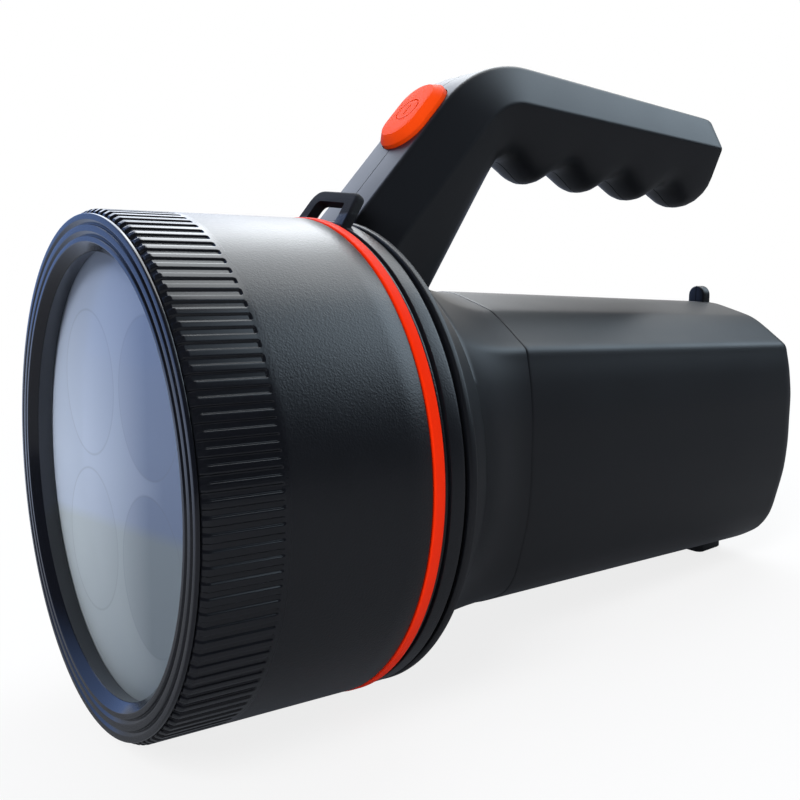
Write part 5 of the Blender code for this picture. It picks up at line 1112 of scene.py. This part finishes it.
class TORCH_OT_orange_ring(Operator):
    """Orange ring between barrel and collar"""

    bl_idname = "torch.orange_ring"
    bl_label = "Orange ring"

    def execute(self, context):
        sizes, look = context.scene.torch_head, context.scene.torch_finishes
        start, end = sizes.ring_start, sizes.ring_start + sizes.ring_width
        profile = [(sizes.barrel_bore, start, 0.0002), (sizes.ring_radius, start, 0.0005),
                   (sizes.ring_radius, end, 0.0005), (sizes.barrel_bore, end, 0.0002)]
        obj = add_object("band", turned("orange_ring", profile))
        finish_piece(obj, orange_plastic("Orange ring", look.orange), "seal_ring", ["orange_ring"])
        return {"FINISHED"}


class TORCH_OT_collar(Operator):
    """Collar with its groove, spigot and strap loop"""

    bl_idname = "torch.collar"
    bl_label = "Collar and loop"

    def execute(self, context):
        sizes, look = context.scene.torch_head, context.scene.torch_finishes
        holes = [(CUT, rod("screw_hole", SCREW_HOLE, 0.0500, 0.0700, along_y(*place))) for place in HEAD_SCREWS]
        obj = combined(turned("head_base", collar_profile(sizes)), loop_steps(sizes) + holes)
        finish_piece(obj, barrel_plastic("Collar", look.black), "housing", ["head_base"])
        return {"FINISHED"}


class TORCH_OT_housing(Operator):
    """Body and handle as two hollow halves"""

    bl_idname = "torch.housing"
    bl_label = "Body and handle"

    def execute(self, context):
        sizes, look = context.scene.torch_housing, context.scene.torch_finishes
        whole = combined(body_mesh(sizes), shell_steps(sizes))
        material = housing_plastic("Body", look.black)
        for name, side in (("right", 1), ("left", -1)):
            obj = add_object(name + "_half", new_mesh(name + "_shell", half_of(whole.data, side)))
            finish_piece(obj, material, "housing", [name + "_shell"], 32.0)
        bpy.data.objects.remove(whole)
        return {"FINISHED"}


class TORCH_OT_button(Operator):
    """Power button with its sunk symbol, painted a lighter, yellower orange than the ring to stand in for the light on
    its top
    """

    bl_idname = "torch.button"
    bl_label = "Power button"

    def execute(self, context):
        red, green, blue = context.scene.torch_finishes.orange
        obj = combined(*button_mesh_steps(context.scene.torch_housing))
        # Painted light: the ring's orange made lighter and yellower stands in for the light that the button's top
        # catches.
        material = orange_plastic("Button", (red * 1.04, green * 2.6, blue * 3.0))
        finish_piece(obj, material, "button", ["power_button"])
        return {"FINISHED"}


class TORCH_OT_cover(Operator):
    """Rubber cover of the charging socket"""

    bl_idname = "torch.cover"
    bl_label = "Charging cover"

    def execute(self, context):
        obj = combined(*cover_mesh_steps())
        finish_piece(obj, rubber("Cover"), "port_cover", ["charge_cover"])
        return {"FINISHED"}


class TORCH_OT_screws(Operator):
    """Cross-head screws, placed on their seats by Geometry Nodes"""

    bl_idname = "torch.screws"
    bl_label = "Screws"

    def execute(self, context):
        steel = metal("Screw steel", (0.50, 0.51, 0.53), (1.0, 1.0, 1.0), 0.32)
        head = combined(*screw_head_steps())
        group = repeating_group("Screws on seats", [("Screw", "Object"), ("Scale", "Float")], on_seats)
        for name, places, node in SCREW_SETS:
            form = bmesh.new()
            axis_layer = form.verts.layers.float_vector.new("axis")
            for place, axis, _ in places:
                form.verts.new(place)[axis_layer] = axis
            seats = bpy.data.meshes.new(name)
            form.to_mesh(seats)
            form.free()
            obj = add_object(name + "_screws", seats)
            run_nodes(obj, group, {"Screw": head, "Scale": 1.0, "Material": steel})

            def shanks(form):
                for place, axis, reach in places:
                    depth = reach - 0.0001
                    turn = Vector(axis).to_track_quat("Z", "Y").to_matrix().to_4x4()
                    middle = Matrix.Translation(place) @ turn @ Matrix.Translation((0, 0, depth / 2))
                    bmesh.ops.create_cone(form, cap_ends=True, segments=24, radius1=0.00138, radius2=0.00105,
                                          depth=depth, matrix=middle)

            changed(obj, shanks)
            finish_piece(obj, steel, "housing", [f"{node}{i + 1}" for i in range(len(places))])
        bpy.data.objects.remove(head)
        return {"FINISHED"}


class TORCH_OT_inner_pieces(Operator):
    """Finishes of the pieces inside"""

    bl_idname = "torch.inner_pieces"
    bl_label = "Inner pieces"

    def execute(self, context):
        dressed = {
            "lens_seal": rubber("Seal rubber"),
            "heat_sink": metal("Aluminium", (0.62, 0.63, 0.65), (1.0, 0.1, 1.0), 0.42),
            "led_board": board("White board", (0.78, 0.79, 0.78), (0.62, 0.64, 0.62)),
            "switch_board": board("Green board", (0.02, 0.16, 0.07), (0.04, 0.28, 0.12)),
            "driver_board": board("Driver board", (0.02, 0.15, 0.07), (0.04, 0.27, 0.12)),
            "driver_coil": metal("Coil copper", (0.55, 0.28, 0.14), (1.0, 1.0, 0.1), 0.40),
            "driver_chip": inner_plastic("Chip", (0.02, 0.02, 0.022)),
            "power_switch": inner_plastic("Switch body", (0.03, 0.03, 0.032)),
            "switch_plunger": inner_plastic("Plunger", (0.20, 0.20, 0.21)),
            "battery_holder": inner_plastic("Holder", (0.024, 0.024, 0.026)),
            "charge_socket": inner_plastic("Socket", (0.02, 0.02, 0.021)),
            "cover_pin": metal("Pin steel", (0.55, 0.56, 0.58), (0.1, 1.0, 1.0), 0.30),
        }
        wrap, glow, red = cell_wrap("Cell wrap"), emitter("Emitter"), inner_plastic("Lead", (0.50, 0.03, 0.02))
        for index in range(1, 5):
            dressed[f"battery_cell_{index}"] = wrap
            dressed[f"uv_led_{index}"] = glow
        dressed.update(led_lead=red, switch_lead=red, charge_lead=red)
        for name, material in dressed.items():
            mesh = frame["nodes"][name].data
            mesh.materials.clear()
            mesh.materials.append(material)
        return {"FINISHED"}


def area_light(name, power, size, place, target, tint=(1.0, 1.0, 1.0)):
    """Add a soft square light at a place in the torch's frame that faces a target there."""
    lamp = bpy.data.lights.new(name, "AREA")
    lamp.shape = "RECTANGLE"
    lamp.size = lamp.size_y = size
    lamp.energy = power
    lamp.color = tint
    obj = add_object(name, lamp)
    place, target = TORCH @ Vector(place), TORCH @ Vector(target)
    obj.location = place
    obj.rotation_mode = "QUATERNION"
    obj.rotation_quaternion = (target - place).to_track_quat("-Z", "Y")
    return obj


def panel_light(nodes, direction, strength):
    """Return the light of all panels in a direction, over a dim room."""
    total = nodes.node("ShaderNodeCombineXYZ", {"X": 0.008, "Y": 0.010, "Z": 0.014})
    for towards, inner, outer, tint, level in PANELS:
        axis = TORCH.to_3x3() @ Vector(towards).normalized()
        facing = nodes.node("ShaderNodeVectorMath", {0: direction, 1: axis}, operation="DOT_PRODUCT")
        lit = Value(nodes, facing.outputs["Value"]).step(
            math.cos(math.radians(outer)), math.cos(math.radians(inner)), interpolation_type="SMOOTHSTEP")
        part = nodes.node("ShaderNodeVectorMath", {0: Vector(tint) * level * strength, "Scale": lit}, operation="SCALE")
        total = nodes.node("ShaderNodeVectorMath", {0: total, 1: part}, operation="ADD")
    return total


def world_background(strength):
    """White behind the torch, and a dim room with soft panels that only light sees."""
    world = bpy.data.worlds.new("Studio")
    world.use_nodes = True
    bpy.context.scene.world = world
    nodes = Nodes(world.node_tree)
    world.node_tree.nodes.clear()
    white, mirrored = nodes.rays()
    soft = nodes.node("ShaderNodeBackground", {"Color": (0.90, 0.94, 1.0, 1.0), "Strength": 0.38})
    clean = nodes.node("ShaderNodeBackground", {"Color": (1.0, 1.0, 1.0, 1.0), "Strength": 1.0})
    direction = nodes.node("ShaderNodeTexCoord").outputs["Generated"]
    panels = nodes.node("ShaderNodeBackground", {"Color": panel_light(nodes, direction, strength)})
    light = nodes.mixed(mirrored, soft, panels)
    nodes.node("ShaderNodeOutputWorld", {"Surface": nodes.mixed(white, light, clean)})


def floor_material():
    """Pale paper that runs out to plain white and keeps the torch's shadow; polished surfaces see mostly a painted
    reflection of it, dim grey, pale blue far to the torch's left.
    """
    finish = Finish("Paper", (0.86, 0.86, 0.87), 0.9)
    finish.tint(finish.noise(0.15, 3.0) * 0.15, (0.83, 0.83, 0.84))
    reach = finish.node("ShaderNodeVectorMath", {0: finish.place}, operation="LENGTH")
    far = Value(finish, reach.outputs["Value"]).step(0.15, 0.60)
    behind = (finish.measure(0) * -1.0).step(0.12, 0.50)
    seen, mirrored = finish.rays()
    white = finish.node("ShaderNodeEmission", {"Color": (1.0, 1.0, 1.0, 1.0), "Strength": 1.0})
    # Painted reflection: the colour that polished surfaces see in the floor, dim grey, turning pale blue far to the
    # torch's left.
    dim = finish.node("ShaderNodeEmission", {
        "Color": finish.blended(behind, (0.10, 0.11, 0.13), (0.42, 0.52, 0.76)), "Strength": 1.0})
    shaded = finish.mixed(seen * (far * 0.18 + 0.82), finish.shader, white)
    return finish.ends_in(finish.mixed(mirrored * 0.85, shaded, dim))


def add_camera(focal_length):
    """Add the camera at the photo's angle: its place and axes are given in the torch's frame."""
    camera = bpy.data.cameras.new("camera")
    camera.lens = focal_length
    camera.sensor_width = 36.0
    camera.clip_start = 0.01
    camera.dof.use_dof = False
    obj = add_object("camera", camera)
    right, up = Vector((0.5730, 0.8195, 0.0070)), Vector((-0.1043, 0.0644, 0.9925))
    back = right.cross(up).normalized()
    up = back.cross(right).normalized()
    turn = Matrix((right.normalized(), up, back)).transposed().to_4x4()
    obj.matrix_world = TORCH @ Matrix.Translation((0.2433, -0.0761, 0.0499)) @ turn
    return obj


class TORCH_OT_stage(Operator):
    """Floor, lights, background and camera"""

    bl_idname = "torch.stage"
    bl_label = "Stage"

    def execute(self, context):
        settings = context.scene.torch_stage
        form = bmesh.new()
        bmesh.ops.create_grid(form, x_segments=8, y_segments=8, size=3.0, matrix=Matrix.Translation((0, 0, -0.0006)))
        floor = add_object("floor", new_mesh("floor", form))
        floor.data.materials.append(floor_material())
        lamps = [
            area_light("key", settings.key, 0.85, (-0.36, 0.55, 0.88), (0, 0.08, 0), (0.93, 0.97, 1.0)),
            area_light("fill", settings.fill, 0.5, (0.60, -0.80, 0.75), (0, 0.05, 0)),
        ]
        lamps[1].visible_glossy = False
        context.scene.camera = add_camera(settings.focal_length)
        context.scene.view_settings.view_transform = "Standard"
        world_background(settings.panels)
        return {"FINISHED"}


GROUPS = {"torch_head": HeadSizes, "torch_housing": HousingSizes, "torch_finishes": Finishes,
          "torch_stage": StageSettings}
OPERATORS = (TORCH_OT_barrel, TORCH_OT_front_ring, TORCH_OT_lens, TORCH_OT_reflector, TORCH_OT_orange_ring,
             TORCH_OT_collar, TORCH_OT_housing, TORCH_OT_button, TORCH_OT_cover, TORCH_OT_screws,
             TORCH_OT_inner_pieces, TORCH_OT_stage)


class TORCH_PT_panel(Panel):
    """Lists the torch's operators and settings in the 3D view's sidebar"""

    bl_label = "Torch"
    bl_idname = "TORCH_PT_panel"
    bl_space_type = "VIEW_3D"
    bl_region_type = "UI"
    bl_category = "Torch"

    def draw(self, context):
        for operator in OPERATORS:
            self.layout.operator(operator.bl_idname)
        for group in GROUPS:
            settings = getattr(context.scene, group)
            box = self.layout.box()
            for name in settings.__annotations__:
                box.prop(settings, name)


def register():
    """Register the add-on's classes and settings."""
    for kind in (*GROUPS.values(), *OPERATORS, TORCH_PT_panel):
        bpy.utils.register_class(kind)
    for name, kind in GROUPS.items():
        setattr(bpy.types.Scene, name, PointerProperty(type=kind))


def unregister():
    """Remove the add-on's classes and settings."""
    for name in GROUPS:
        delattr(bpy.types.Scene, name)
    for kind in reversed((*GROUPS.values(), *OPERATORS, TORCH_PT_panel)):
        bpy.utils.unregister_class(kind)


def main():
    """Build every piece in order."""
    register()
    for operator in OPERATORS:
        area, name = operator.bl_idname.split(".")
        getattr(getattr(bpy.ops, area), name)()


if __name__ == "__main__":
    main()
